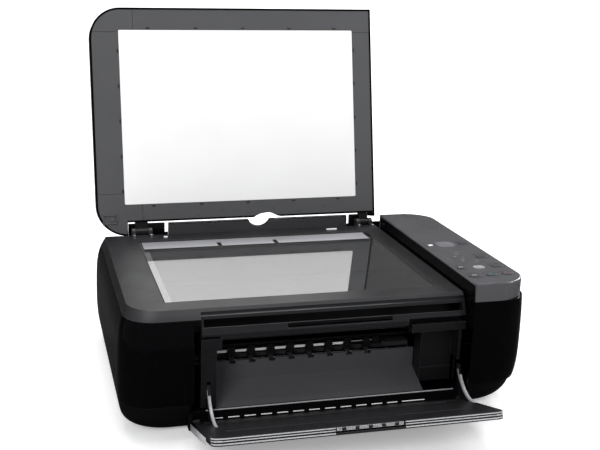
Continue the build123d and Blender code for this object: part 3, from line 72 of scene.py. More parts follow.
# %% [markdown]
# ## One way to add a node
# A finish is a small web of nodes. Each node is a kind, some settings, and inputs that are
# either plain values or another node's output. One helper covers all of them, so a recipe
# below reads as a list of what is done to the surface.

# %% Add a node with its settings and links


def add(material, kind, settings=None, **inputs):
    """A new node; an input is named by its socket, or by s and its number where names repeat."""
    tree = material.node_tree
    made = tree.nodes.new("ShaderNode" + kind)
    for name, value in (settings or {}).items():
        setattr(made, name, value)
    for name, value in inputs.items():
        key = int(name[1:]) if name[0] == "s" and name[1:].isdigit() else name.replace("_", " ")
        socket = made.inputs[key]
        if isinstance(value, bpy.types.NodeSocket):
            tree.links.new(value, socket)
        else:
            socket.default_value = value
    return made


def start_material(name):
    """An empty node material, and where on the object each point lies, in metres."""
    material = bpy.data.materials.new(name)
    material.use_nodes = True
    material.node_tree.nodes.clear()
    place = add(material, "TexCoord").outputs["Object"]
    return material, place


def close_material(material, shader):
    """Links the finished shader to the surface."""
    add(material, "OutputMaterial", Surface=shader.outputs[0])
    return material


# %% [markdown]
# ## Rounded edges and rubbed edges
# No moulded edge is a knife edge: it is rounded by a few tenths of a millimetre, catches a thin
# line of light, and is the first place to be rubbed pale. The engineering shapes have square
# edges, so the rounding is made in the shading: a bevelled normal, and the difference between it
# and the flat face marks where hands and cloths rub.

# %% Soft edges for a square solid


def soft_edge(material, radius):
    """The rounded normal, and a mask that is 1 on the edges and 0 on the faces."""
    rounded = add(material, "Bevel", {"samples": 4}, Radius=radius).outputs[0]
    flat = add(material, "NewGeometry").outputs["Normal"]
    same = add(material, "VectorMath", {"operation": "DOT_PRODUCT"}, s0=rounded, s1=flat)
    rubbed = add(material, "MapRange", Value=same.outputs["Value"],
                 From_Min=0.985, From_Max=0.80, To_Min=0.0, To_Max=1.0)
    return rounded, rubbed.outputs[0]


# %% [markdown]
# ## Moulded ABS
# Nearly all of the printer is ABS, a tough plastic shot into polished or spark-eroded steel
# moulds. The mould gives the skin: a polished one leaves a mirror with faint waves, an eroded one
# leaves a fine even grain that scatters light. The real grain is about 0.1 mm, too fine to show
# from a metre away, so it is drawn a few times coarser and shallower.
# The same recipe serves every ABS piece, because on the real object it is one material; colour,
# grain and polish are what differ. Plain ABS has a shine of 0.5; the polished covers are given
# a tenth of that, which keeps them as deep a black as the eye sees on the real ones.

# %% The recipe for moulded ABS
ABS_IOR = 1.53
GRAIN_SHOWN = 0.55 * MM
DUST_SPACING = 2.6 * MM
SMEAR_SIZE = 46 * MM


def moulded_abs(name, code, polish, grain, shine=0.5, smear=0.06, edge_code=None, edge=0.5 * MM):
    """ABS of one colour; polish is its roughness and grain the depth of its skin in mm."""
    material, place = start_material(name)
    rounded, rubbed = soft_edge(material, edge)
    speckle = add(material, "TexNoise", Vector=place, Scale=1 / GRAIN_SHOWN, Detail=2.0)
    cloud = add(material, "TexNoise", Vector=place, Scale=1 / SMEAR_SIZE, Detail=3.0)
    base = add(material, "Mix", {"data_type": "RGBA", "blend_type": "MIX"},
               s0=cloud.outputs[0], s6=colour(code), s7=[c * 1.16 for c in colour(code)[:3]] + [1])
    pale = add(material, "Mix", {"data_type": "RGBA"}, s0=rubbed, s6=base.outputs[2],
               s7=colour(edge_code or code))
    dust = add(material, "TexVoronoi", {"feature": "F1"}, Vector=place, Scale=1 / DUST_SPACING)
    fleck = add(material, "MapRange", Value=dust.outputs["Distance"],
                From_Min=0.09, From_Max=0.05, To_Min=0.0, To_Max=0.10)
    dusty = add(material, "Mix", {"data_type": "RGBA"}, s0=fleck.outputs[0],
                s6=pale.outputs[2], s7=colour("8c8a86"))
    rough = add(material, "MapRange", Value=cloud.outputs[0], From_Min=0.3, From_Max=0.7,
                To_Min=max(polish - smear, 0.03), To_Max=polish + smear)
    skin = add(material, "Bump", Strength=1.0, Distance=grain * MM,
               Height=speckle.outputs[0], Normal=rounded)
    shader = add(material, "BsdfPrincipled", Base_Color=dusty.outputs[2],
                 Roughness=rough.outputs[0], Normal=skin.outputs[0], IOR=ABS_IOR)
    shader.inputs["Specular IOR Level"].default_value = shine
    return close_material(material, shader)


# %% The printer's ABS skins, from polished to grained
polished_black_abs = moulded_abs("polished_black_abs", "050506", 0.14, 0.004, 0.05, 0.05, "1a1a1c")
satin_black_abs = moulded_abs("satin_black_abs", "0d0d0e", 0.38, 0.02, 0.30, 0.06, "262628")
grained_black_abs = moulded_abs("grained_black_abs", "17171a", 0.52, 0.05, 0.4, 0.05, "2e2e31")
fascia_black_abs = moulded_abs("fascia_black_abs", "19191b", 0.20, 0.006, 0.35, 0.05, "38383a")
charcoal_frame_abs = moulded_abs("charcoal_frame_abs", "1c1c1e", 0.40, 0.05, 0.6, 0.05, "5c5c5e")
charcoal_lid_abs = moulded_abs("charcoal_lid_abs", "4d4d4f", 0.5, 0.04, 0.4, 0.05, "606062")
panel_abs = moulded_abs("panel_abs", "464649", 0.30, 0.03, 0.7, 0.05, "4a4a4c")
key_abs = moulded_abs("key_abs", "3c3c3f", 0.36, 0.02, 0.45, 0.05, "6a6a6c", 0.3 * MM)
pale_key_abs = moulded_abs("pale_key_abs", "8b8b8e", 0.36, 0.02, 0.45, 0.05, "b4b4b6", 0.3 * MM)
tray_abs = moulded_abs("tray_abs", "151517", 0.4, 0.03, 0.4, 0.06, "4c4c4f")
lower_case_abs = moulded_abs("lower_case_abs", "09090a", 0.42, 0.03, 0.10, 0.05, "1e1e20")
paper_path_abs = moulded_abs("paper_path_abs", "4a4a4d", 0.45, 0.03, 0.4, 0.05, "58585a")
cartridge_abs = moulded_abs("cartridge_abs", "35353a", 0.4, 0.02, 0.45, 0.05, "5a5a60")
natural_acetal = moulded_abs("natural_acetal", "d9d5c8", 0.4, 0.01, 0.5, 0.05, "f0ede2")
print("moulded plastics:", len([m for m in bpy.data.materials if "abs" in m.name]))

# %% [markdown]
# ## White film on foam
# The mat that presses a page on the glass is a thin white polyester film laid over foam. The
# film is flat and bright, with a very slight cloudiness where the foam shows through, which is
# what keeps it from looking like a hole in the lid.

# %% The document mat
FOAM_CLOUD = 70 * MM
FILM_CELL = 0.9 * MM


def white_film():
    """Bright film with a faint cloud and a soft sheen."""
    material, place = start_material("white_film")
    cloud = add(material, "TexNoise", Vector=place, Scale=1 / FOAM_CLOUD, Detail=2.0)
    tint = add(material, "Mix", {"data_type": "RGBA"}, s0=cloud.outputs[0],
               s6=colour("fbfbfa"), s7=colour("f4f4f2"))
    cells = add(material, "TexNoise", Vector=place, Scale=1 / FILM_CELL, Detail=1.0)
    skin = add(material, "Bump", Strength=0.3, Distance=0.02 * MM, Height=cells.outputs[0])
    shader = add(material, "BsdfPrincipled", Base_Color=tint.outputs[2], Roughness=0.55,
                 Normal=skin.outputs[0], IOR=1.57)
    return close_material(material, shader)


document_film = white_film()

# %% [markdown]
# ## Float glass
# The bed is float glass, poured on molten tin and so perfectly flat. It is clear, but at a low
# glance it acts as a mirror and shows the white mat of the open lid. Finger marks and dust are
# what make it read as glass. Plain glass mirrors little from this height, so a clear coat with a
# far higher index than any glass is laid over it to bring out the mat's reflection.

# %% The glass bed
FINGER_MARK = 24 * MM
GLASS_IOR = 1.52
MIRROR_IOR = 2.8


def float_glass():
    """Clear flat glass, a little smeared."""
    material, place = start_material("float_glass")
    cloud = add(material, "TexNoise", Vector=place, Scale=1 / FINGER_MARK, Detail=4.0)
    smear = add(material, "MapRange", Value=cloud.outputs[0], From_Min=0.35, From_Max=0.75,
                To_Min=0.015, To_Max=0.05)
    shader = add(material, "BsdfPrincipled", Base_Color=colour("dcdcdc"),
                 Roughness=smear.outputs[0], IOR=GLASS_IOR)
    shader.inputs["Transmission Weight"].default_value = 0.97
    shader.inputs["Coat Weight"].default_value = 1.0
    shader.inputs["Coat Roughness"].default_value = 0.02
    shader.inputs["Coat IOR"].default_value = MIRROR_IOR
    return close_material(material, shader)


bed_glass = float_glass()

# %% [markdown]
# ## Metals
# Five finishes of steel are used. The guide bar and shafts are ground bright and polished; the
# chassis is zinc plated sheet, dull with a faint crystal pattern; the motor cans are drawn, with
# lines round them; the scanner's rail is blackened, and the screws are bright. A metal keeps its
# whole colour in its reflection, so only its colour, roughness and marks differ.

# %% Ground, plated, drawn, blackened and bright steel


def steel(name, code, polish, mark_size, mark_depth, stretch=(1, 1, 1)):
    """Steel with surface marks of one size, longer along the stretched axis."""
    material, place = start_material(name)
    rounded, rubbed = soft_edge(material, 0.25 * MM)
    laid = add(material, "Mapping", {"vector_type": "POINT"}, Vector=place, Scale=stretch)
    marks = add(material, "TexNoise", Vector=laid.outputs[0], Scale=1 / mark_size, Detail=4.0)
    tone = add(material, "Mix", {"data_type": "RGBA"}, s0=marks.outputs[0],
               s6=colour(code), s7=[c * 0.78 for c in colour(code)[:3]] + [1])
    rough = add(material, "MapRange", Value=marks.outputs[0], From_Min=0.3, From_Max=0.7,
                To_Min=polish - 0.06, To_Max=polish + 0.08)
    skin = add(material, "Bump", Strength=1.0, Distance=mark_depth * MM,
               Height=marks.outputs[0], Normal=rounded)
    shader = add(material, "BsdfPrincipled", Base_Color=tone.outputs[2], Metallic=1.0,
                 Roughness=rough.outputs[0], Normal=skin.outputs[0])
    return close_material(material, shader)


ground_steel = steel("ground_steel", "cfd0d2", 0.16, 1.2 * MM, 0.003, (0.06, 1, 1))
zinc_plated_steel = steel("zinc_plated_steel", "a9adb0", 0.36, 5.0 * MM, 0.01)
drawn_steel = steel("drawn_steel", "b4b4b6", 0.3, 1.6 * MM, 0.006, (1, 0.05, 1))
blackened_steel = steel("blackened_steel", "1b1b1d", 0.35, 2.0 * MM, 0.01)
bright_screw_steel = steel("bright_screw_steel", "dcdcde", 0.22, 0.8 * MM, 0.003)
print("steels:", len([m for m in bpy.data.materials if "steel" in m.name]))

# %% [markdown]
# ## Rubber and circuit board
# The feet, tyres and belt are matt moulded rubber, and the board is green solder mask on woven
# glass. Both are dull beside the polished covers, which is how the eye tells them apart.

# %% Rubber and the circuit board
BLOOM_PATCH = 9 * MM
PORE_SIZE = 0.7 * MM


def nitrile_rubber():
    """Matt black rubber with patches of bloom and fine pores."""
    material, place = start_material("nitrile_rubber")
    bloom = add(material, "TexNoise", Vector=place, Scale=1 / BLOOM_PATCH, Detail=3.0)
    tone = add(material, "Mix", {"data_type": "RGBA"}, s0=bloom.outputs[0],
               s6=colour("161616"), s7=colour("2b2a28"))
    pores = add(material, "TexNoise", Vector=place, Scale=1 / PORE_SIZE, Detail=1.0)
    skin = add(material, "Bump", Strength=0.6, Distance=0.05 * MM, Height=pores.outputs[0])
    shader = add(material, "BsdfPrincipled", Base_Color=tone.outputs[2], Roughness=0.82,
                 Normal=skin.outputs[0], IOR=1.52)
    return close_material(material, shader)


WEAVE_PITCH = 1.1 * MM


def green_board():
    """Solder mask over woven glass: a green gloss with the weave just visible."""
    material, place = start_material("green_board")
    weave = add(material, "TexBrick", Vector=place, Scale=1 / WEAVE_PITCH,
                Color1=colour("0e4a26"), Color2=colour("0b3f20"), Mortar=colour("1d6a3a"))
    skin = add(material, "Bump", Strength=0.4, Distance=0.03 * MM, Height=weave.outputs[1])
    shader = add(material, "BsdfPrincipled", Base_Color=weave.outputs[0], Roughness=0.32,
                 Normal=skin.outputs[0], IOR=1.55)
    return close_material(material, shader)


rubber = nitrile_rubber()
board = green_board()

# %% [markdown]
# ## Pearl trim, painted highlight trim and clear window
# The pearl plastic holds metal flake, so it is paler where it turns to the light. Its pale grade is
# laid as painted highlight on the tray's rim, the tray arms' edges, the sill's edge and the paper
# support's top edge. The window over the display is smoked acrylic, dark and glossy, with the grey
# of the unlit display below.
# Printed marks, and the near-white painted highlights along the sill gap and the star axle, take the
# same smooth recipe.

# %% Pearl trim, painted highlight trim, smoked window, lamp and printed marks
FLAKE_SIZE = 0.5 * MM
RUBBED_PATCH = 7 * MM


def pearl_plastic(name, code, shade_code, polish):
    """Plastic with metal flake moulded in."""
    material, place = start_material(name)
    rounded, rubbed = soft_edge(material, 0.4 * MM)
    flake = add(material, "TexVoronoi", {"feature": "F1"}, Vector=place, Scale=1 / FLAKE_SIZE)
    tone = add(material, "Mix", {"data_type": "RGBA"}, s0=flake.outputs["Color"],
               s6=colour(code), s7=colour(shade_code))
    rough = add(material, "MapRange", Value=flake.outputs["Distance"], From_Min=0.0,
                From_Max=0.8, To_Min=polish - 0.05, To_Max=polish + 0.08)
    shader = add(material, "BsdfPrincipled", Base_Color=tone.outputs[2], Metallic=0.12,
                 Roughness=rough.outputs[0], Normal=rounded, IOR=1.53)
    return close_material(material, shader)


def clear_cover(name, code, polish):
    """Smooth tinted acrylic over a print or a display, with faint rubbing."""
    material, place = start_material(name)
    cloud = add(material, "TexNoise", Vector=place, Scale=1 / RUBBED_PATCH, Detail=3.0)
    tone = add(material, "Mix", {"data_type": "RGBA"}, s0=cloud.outputs[0],
               s6=colour(code), s7=[c * 1.25 for c in colour(code)[:3]] + [1])
    rough = add(material, "MapRange", Value=cloud.outputs[0], From_Min=0.3, From_Max=0.7,
                To_Min=polish, To_Max=polish + 0.08)
    shader = add(material, "BsdfPrincipled", Base_Color=tone.outputs[2],
                 Roughness=rough.outputs[0], IOR=1.49)
    return close_material(material, shader)


# This pale pearl is laid only as painted highlight: on the tray's rim, the arms' edges, the sill's
# edge and the support's top edge.
painted_highlight_trim = pearl_plastic("painted_highlight_trim", "d2d2d4", "98989c", 0.3)
dark_pearl_trim = pearl_plastic("dark_pearl_trim", "6e6e72", "4c4c50", 0.3)
smoked_acrylic = clear_cover("smoked_acrylic", "66666a", 0.25)
lamp_lens = clear_cover("lamp_lens", "e8e8e6", 0.25)
white_ink = clear_cover("white_ink", "b9b9ba", 0.5)
dark_ink = clear_cover("dark_ink", "0b0b0c", 0.4)
teal_ink = clear_cover("teal_ink", "2f8fa0", 0.4)
red_ink = clear_cover("red_ink", "c0463c", 0.4)
calibration_white = clear_cover("calibration_white", "f3f3f1", 0.5)
# Near-white painted highlight for the short bright dashes along the sill gap and the star axle.
painted_highlight_white = clear_cover("painted_highlight_white", "f4f4f2", 0.3)

# %% [markdown]
# ## Dressing the engineering pieces
# Each engineering piece keeps its shape and only gets its skin. The pieces are grouped by the
# finish a factory would give them, so a change of one finish changes all its pieces.

# %% Give every engineering piece its finish
FINISHES = {
    polished_black_abs: ("left_side_cover", "right_side_cover", "lid_shell"),
    fascia_black_abs: ("scanner_fascia",),
    satin_black_abs: ("rear_cover", "rear_sockets", "lid_hinge_arms", "scanner_case",
                      "star_wheels"),
    lower_case_abs: ("bottom_case",),
    grained_black_abs: ("support_arm", "scan_bar", "power_supply", "pinch_rollers"),
    paper_path_abs: ("output_guide", "platen"),
    charcoal_frame_abs: ("scanner_top_frame",),
    charcoal_lid_abs: ("lid_inner_frame", "left_paper_guide", "right_paper_guide"),
    panel_abs: ("control_panel", "paper_support", "support_extension"),
    key_abs: ("copies_key", "fit_to_page_key", "scan_key", "power_key", "black_start_key",
              "colour_start_key", "stop_key"),
    pale_key_abs: ("ok_key",),
    tray_abs: ("output_tray", "tray_extension", "front_frame"),
    document_film: ("lid_mat",),
    bed_glass: ("scanner_glass",),
    smoked_acrylic: ("display_window",),
    ground_steel: ("carriage_guide_shaft", "feed_roller", "output_shaft", "star_axle"),
    zinc_plated_steel: ("chassis_frame",),
    blackened_steel: ("scan_rail",),
    drawn_steel: ("carriage_motor", "feed_motor"),
    rubber: ("rubber_feet", "output_tyres", "pickup_roller", "carriage_belt"),
    natural_acetal: ("feed_gear", "idler_gear", "output_gear", "motor_pinion", "idler_pulley",
                     "drive_pulley", "cap_sled"),
    board: ("logic_board",),
    cartridge_abs: ("black_cartridge", "colour_cartridge", "print_carriage"),
}
dressed = []
for finish, names in FINISHES.items():
    for name in names:
        for spot in frame["nodes"][name].material_slots:
            spot.material = finish
        dressed.append(name)
print(len(dressed), "pieces dressed; bare:", sorted(set(frame["nodes"]) - set(dressed)))

# %% [markdown]
# ## Tools for small pieces
# The small pieces are built in mesh code. A moulded piece is a block whose edges are cut back a
# little, a screw or a lens is a short turned piece with a rounded rim, and a strip is a thin band
# that follows a line. Each tool adds its shape to one mesh, so a row of ribs stays one piece.

# %% Blocks, turned pieces and strips


def block(bm, low, high, rounding=0.25 * MM, place=Matrix()):
    """A block between two corners with its edges rounded off."""
    size = [b - a for a, b in zip(low, high)]
    middle = [(a + b) / 2 for a, b in zip(low, high)]
    shape = Matrix.Translation(middle) @ Matrix.Diagonal((*size, 1.0))
    corners = bmesh.ops.create_cube(bm, size=1.0, matrix=shape)["verts"]
    edges = list({edge for corner in corners for edge in corner.link_edges})
    limit = min(rounding, 0.45 * min(size))
    made = bmesh.ops.bevel(bm, geom=edges, offset=limit, segments=2, affect="EDGES", profile=0.5)
    corners = {corner for face in made["faces"] for corner in face.verts}
    bmesh.ops.transform(bm, matrix=place, verts=list(corners))


def turned(bm, foot, radius, height, axis="Z", rim=0.3 * MM, sides=28, place=Matrix()):
    """A short round piece that stands on its foot point, with its far rim rounded."""
    steps = [(0.0, radius), (height - rim, radius)]
    steps += [(height - rim + rim * sin(a), radius - rim + rim * cos(a))
              for a in (radians(30), radians(60), radians(90))]
    turn = {"X": Matrix.Rotation(pi / 2, 4, "Y"), "Y": Matrix.Rotation(pi / 2, 4, "X"),
            "Z": Matrix()}[axis]
    seat = place @ Matrix.Translation(foot) @ turn
    rings = []
    for up, out in steps:
        ring = [seat @ Vector((out * cos(2 * pi * k / sides), out * sin(2 * pi * k / sides), up))
                for k in range(sides)]
        rings.append([bm.verts.new(point) for point in ring])
    for lower, upper in zip(rings, rings[1:]):
        for k in range(sides):
            after = (k + 1) % sides
            bm.faces.new((lower[k], lower[after], upper[after], upper[k]))
    bm.faces.new(rings[0][::-1])
    bm.faces.new(rings[-1])


def strip(bm, line, outward, low_x, high_x, thick, place=Matrix()):
    """A band along a line of (y, z) points, thickened outward (+1) or inward (-1)."""
    pairs = []
    for k, (y, z) in enumerate(line):
        before = line[max(k - 1, 0)]
        after = line[min(k + 1, len(line) - 1)]
        along = Vector((after[0] - before[0], after[1] - before[1])).normalized()
        side = Vector((-along.y, along.x)) * outward * thick
        pairs.append(((y, z), (y + side.x, z + side.y)))
    columns = []
    for near, far in pairs:
        points = [(low_x, *near), (high_x, *near), (high_x, *far), (low_x, *far)]
        columns.append([bm.verts.new(place @ Vector(point)) for point in points])
    for one, two in zip(columns, columns[1:]):
        for k in range(4):
            bm.faces.new((one[k], one[(k + 1) % 4], two[(k + 1) % 4], two[k]))
    bm.faces.new(columns[0][::-1])
    bm.faces.new(columns[-1])


def finished(name, bm, body, material):
    """Turns the mesh into a piece that rides on a body and takes a finish."""
    bmesh.ops.recalc_face_normals(bm, faces=bm.faces[:])
    mesh = bpy.data.meshes.new(name)
    bm.to_mesh(mesh)
    bm.free()
    mesh.materials.append(material)
    mesh.shade_smooth()
    mesh.set_sharp_from_angle(angle=radians(38))
    piece = bpy.data.objects.new(name, mesh)
    bpy.context.scene.collection.objects.link(piece)
    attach(piece, body)
    print(name, "faces", len(mesh.polygons), "on", body)
    return piece


# %% [markdown]
# ## Two hinges as places to measure from
# The lid and the tray stand open, so nothing on them is square to the table. Each is measured as
# if it were closed, from its own hinge line, and one matrix then turns those measures to where
# the piece really stands.

# %% Places on the open lid and the open tray


def hinge_place(name, turn_sign):
    """From closed measures at a hinge line to the open piece."""
    joint = joints[name]
    pivot = Vector((0.0, joint["pos_m"][1], joint["pos_m"][2]))
    swing = radians(joint["range_deg"][1]) * turn_sign
    return Matrix.Translation(pivot) @ Matrix.Rotation(swing, 4, "X")


on_lid = hinge_place("lid_hinge", -1)
on_tray = hinge_place("tray_hinge", 1)
mat_low, mat_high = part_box("lid_mat")
lid_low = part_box("lid_inner_frame")[0]
mat_corner = on_lid.inverted() @ Vector((mat_low.x, mat_high.y, mat_high.z))
mat_foot = on_lid.inverted() @ Vector((mat_low.x, mat_low.y, mat_low.z))
LID_FACE = -1.0 * MM
print("mat runs from", round(mat_corner.y / MM), "to", round(mat_foot.y / MM), "mm from the hinge")

# %% [markdown]
# ## Inside of the lid
# Injection moulding leaves round marks where steel pins pushed the part out of its mould, and the
# mat is held by small clips at its edge. A small catch box sits in the corner by the left hinge.

# %% Clips, ejector marks and the catch box
CLIP_COUNT = 5
MARK_COUNT = 9

bm = bmesh.new()
front_y, back_y = mat_corner.y, mat_foot.y
for k in range(CLIP_COUNT):
    share = (k + 0.6) / CLIP_COUNT
    x = mat_low.x + share * (mat_high.x - mat_low.x)
    y = front_y + share * (back_y - front_y)
    for edge_y in (front_y - 1.8 * MM, back_y + 1.8 * MM):
        block(bm, (x - 2.2 * MM, edge_y - 0.9 * MM, LID_FACE - 0.7 * MM),
              (x + 2.2 * MM, edge_y + 0.9 * MM, LID_FACE), 0.3 * MM, on_lid)
    for edge_x in (mat_low.x - 1.8 * MM, mat_high.x + 1.8 * MM):
        block(bm, (edge_x - 0.9 * MM, y - 2.2 * MM, LID_FACE - 0.7 * MM),
              (edge_x + 0.9 * MM, y + 2.2 * MM, LID_FACE), 0.3 * MM, on_lid)
finished("mat_clips", bm, "lid", grained_black_abs)

bm = bmesh.new()
for k in range(MARK_COUNT):
    x = mat_low.x + (k + 0.7) / MARK_COUNT * (mat_high.x - mat_low.x)
    y = back_y + (9 if k % 2 else 14) * MM
    turned(bm, (x, y, LID_FACE + 0.01 * MM), 2.4 * MM, -0.25 * MM, rim=-0.1 * MM, place=on_lid)
finished("ejector_marks", bm, "lid", charcoal_lid_abs)

bm = bmesh.new()
catch = (lid_low.x + 5 * MM, lid_low.x + 24 * MM, -24 * MM, -12 * MM)
for low, high in (
    ((catch[0], catch[2], LID_FACE - 1.6 * MM), (catch[1], catch[2] + 1.4 * MM, LID_FACE)),
    ((catch[0], catch[3] - 1.4 * MM, LID_FACE - 1.6 * MM), (catch[1], catch[3], LID_FACE)),
    ((catch[0], catch[2], LID_FACE - 1.6 * MM), (catch[0] + 1.4 * MM, catch[3], LID_FACE)),
    ((catch[1] - 1.4 * MM, catch[2], LID_FACE - 1.6 * MM), (catch[1], catch[3], LID_FACE)),
):
    block(bm, low, high, 0.3 * MM, on_lid)
turned(bm, (catch[0] + 12 * MM, (catch[2] + catch[3]) / 2, LID_FACE), 2.6 * MM, -1.2 * MM,
       rim=-0.3 * MM, place=on_lid)
finished("lid_catch_box", bm, "lid", charcoal_lid_abs)

# %% [markdown]
# ## Round the glass
# A black felt line seals the glass under the plate's rim. Under its left edge lies the white
# strip that the sensor reads before each scan, to know what white is. Small marks on the plate
# show where a page is laid.

# %% Felt line, calibration strip and page marks
glass_low, glass_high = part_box("scanner_glass")
frame_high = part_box("scanner_top_frame")[1]
GLASS_UNDER_LIP = 8.2 * MM
FELT = 1.5 * MM
window = (glass_low.x + GLASS_UNDER_LIP, glass_high.x - GLASS_UNDER_LIP,
          glass_low.y + GLASS_UNDER_LIP, glass_high.y - GLASS_UNDER_LIP)
plate_top = glass_high.z + 0.9 * MM

bm = bmesh.new()
x0, x1, y0, y1 = window
for low, high in (((x0, y0), (x1, y0 + FELT)), ((x0, y1 - FELT), (x1, y1)),
                  ((x0, y0), (x0 + FELT, y1)), ((x1 - FELT, y0), (x1, y1))):
    block(bm, (*low, glass_high.z + 0.02 * MM), (*high, glass_high.z + 0.3 * MM), 0.1 * MM)
finished("glass_felt_line", bm, "scanner_unit", rubber)

bm = bmesh.new()
block(bm, (x0 - 2 * MM, y0 - 4 * MM, glass_low.z - 0.34 * MM),
      (x0 + 9 * MM, y1 + 4 * MM, glass_low.z - 0.04 * MM), 0.1 * MM)
finished("calibration_strip", bm, "scanner_unit", calibration_white)

bm = bmesh.new()
for k, wide in enumerate((4.0, 6.0, 8.0)):
    y = y0 + (7 + 13 * k) * MM
    block(bm, (x0 - (3 + wide) * MM, y, plate_top), (x0 - 3 * MM, y + 0.8 * MM,
          plate_top + 0.06 * MM), 0.02 * MM)
finished("page_marks", bm, "scanner_unit", dark_ink)

# %% [markdown]
# ## Behind the glass
# Along the rear of the glass lie a pale band and a dark bar with two small tabs across them, all
# painted reflections: the pale band of the bar behind the lid, the dark bar and tabs of the lid's
# rear edge and its two tabs.
# Black cheeks close the gaps beside the paper slot.

# %% Painted reflections along the rear of the glass, and cheeks beside the paper slot
# The pale band is a painted reflection of the bar behind the lid, laid flat on the glass.
bm = bmesh.new()
block(bm, (x0 + 4 * MM, y1 - 30 * MM, glass_high.z + 0.02 * MM),
      (x1 - 8 * MM, y1 - 2 * MM, glass_high.z + 0.24 * MM), 0.08 * MM)
finished("rear_band_painted_reflection", bm, "scanner_unit", pale_key_abs)

# The dark bar and its two tabs are a painted reflection of the lid's rear edge and its tabs, laid
# flat on the glass.
bm = bmesh.new()
for x in (x0 + 96 * MM, x0 + 168 * MM):
    block(bm, (x, y1 - 36 * MM, glass_high.z + 0.02 * MM),
          (x + 5 * MM, y1 - 16 * MM, glass_high.z + 0.5 * MM))
block(bm, (x0 + 4 * MM, y1 - 40 * MM, glass_high.z + 0.02 * MM),
      (x1 - 8 * MM, y1 - 30.4 * MM, glass_high.z + 0.3 * MM), 0.1 * MM)
finished("lid_edge_painted_reflection", bm, "scanner_unit", satin_black_abs)

CHEEK_X = (-177 * MM, 147 * MM)
CHEEK_Z = (127.5 * MM, 142.8 * MM)
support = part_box("paper_support")
bm = bmesh.new()
for low_x, high_x in ((CHEEK_X[0], support[0].x - 1.5 * MM), (support[1].x + 1.5 * MM, CHEEK_X[1])):
    block(bm, (low_x, support[0].y + 2.5 * MM, CHEEK_Z[0]),
          (high_x, support[1].y - 1 * MM, CHEEK_Z[1]))
finished("slot_cheeks", bm, "scanner_unit", satin_black_abs)

# %% [markdown]
# ## The sensor bar
# A contact sensor has a long lens strip beside a row of lamps, all under a clear cover.

# %% Sensor lens strip
bar_low, bar_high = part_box("scan_bar")
bm = bmesh.new()
middle_x = (bar_low.x + bar_high.x) / 2
block(bm, (middle_x - 3.6 * MM, bar_low.y + 4 * MM, bar_high.z - 1.15 * MM),
      (middle_x + 3.6 * MM, bar_high.y - 4 * MM, bar_high.z - 0.2 * MM), 0.2 * MM)
finished("sensor_lens_strip", bm, "scan_carriage", lamp_lens)

# %% [markdown]
# ## Hinge hardware
# Each lid hinge turns on a steel pin whose bright ends show beside the knuckles, and is held
# down by two screws. Two pale stop pads sit in the black channel behind the glass.

# %% Hinge screws, pin ends and stop pads
arms_low, arms_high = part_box("lid_hinge_arms")
hinge_y, hinge_z = joints["lid_hinge"]["pos_m"][1:]
bm = bmesh.new()
for x in (arms_low.x + 1.5 * MM, arms_low.x + 23.0 * MM, arms_high.x - 1.5 * MM,
          arms_high.x - 20.0 * MM):
    turned(bm, (x, hinge_y - 12 * MM, plate_top), 1.7 * MM, 2.6 * MM, rim=0.5 * MM)
for x in (arms_low.x, arms_high.x - 0.6 * MM):
    turned(bm, (x, hinge_y, hinge_z), 1.6 * MM, 0.6 * MM, "X", rim=0.2 * MM)
finished("hinge_screws", bm, "scanner_unit", bright_screw_steel)

bm = bmesh.new()
for low_x, high_x in ((arms_low.x + 38 * MM, arms_low.x + 43 * MM),
                      (arms_high.x - 68 * MM, arms_high.x - 54 * MM)):
    block(bm, (low_x, frame_high.y - 26 * MM, plate_top - 0.6 * MM),
          (high_x, frame_high.y - 24 * MM, plate_top + 1.0 * MM), 0.3 * MM)
finished("stop_pads", bm, "scanner_unit", calibration_white)

# %% [markdown]
# ## Edge of the paper support
# The folded support shows only its top edge behind the lid. A narrow pale strip along it is a
# painted highlight on that edge.

# %% Painted highlight on the paper support's edge
support_low, support_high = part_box("paper_support")
# The pale strip is a painted highlight on the support's top edge.
bm = bmesh.new()
NOTCH = (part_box("support_extension")[0].x + 36 * MM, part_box("support_extension")[1].x - 36 * MM)
for low_x, high_x in ((support_low.x + 9 * MM, NOTCH[0]), (NOTCH[1], support_high.x - 9 * MM)):
    block(bm, (low_x, support_low.y + 1.4 * MM, support_high.z - 0.9 * MM),
          (high_x, support_low.y + 2.8 * MM, support_high.z - 0.1 * MM), 0.2 * MM)
finished("support_edge_highlight", bm, "rear_support", painted_highlight_trim)

# %% [markdown]
# ## The tray
# The pale stripes on the tray's rim are painted highlights where its fine ribs catch the light, and
# the pale bands on the two side arms' curved front edges are painted highlights too. Where the tray
# meets the body, a row of short near-white dashes along the gap and a pale line on the sill's edge
# are painted highlights. What rides on the tray is measured on the closed tray and then turned to
# where it stands.

# %% Rim stripes, arm edges, sill-gap dashes and sill edge, all painted highlights
tray_y, tray_z = joints["tray_hinge"]["pos_m"][1:]
TRAY_TOP = 104 * MM
flap_low, flap_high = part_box("tray_extension")
tray_low, tray_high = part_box("output_tray")
tray_x = (tray_low.x + 4.6 * MM, tray_high.x - 5.6 * MM)
RIM_CORNER = 9 * MM

# Pale rim stripes: painted highlights where the rim's fine ribs catch the light.
bm = bmesh.new()
for depth, height in ((-1.7, 1.1), (-4.1, 1.0), (-6.9, 1.3)):
    for low_x, high_x in ((tray_x[0] + RIM_CORNER, flap_low.x - 0.8 * MM),
                          (flap_high.x + 0.8 * MM, tray_x[1] - RIM_CORNER)):
        block(bm, (low_x, (depth - height / 2) * MM, TRAY_TOP - 0.5 * MM),
              (high_x, (depth + height / 2) * MM, TRAY_TOP + 0.16 * MM), 0.1 * MM, on_tray)
finished("tray_rim_highlights", bm, "tray", painted_highlight_trim)

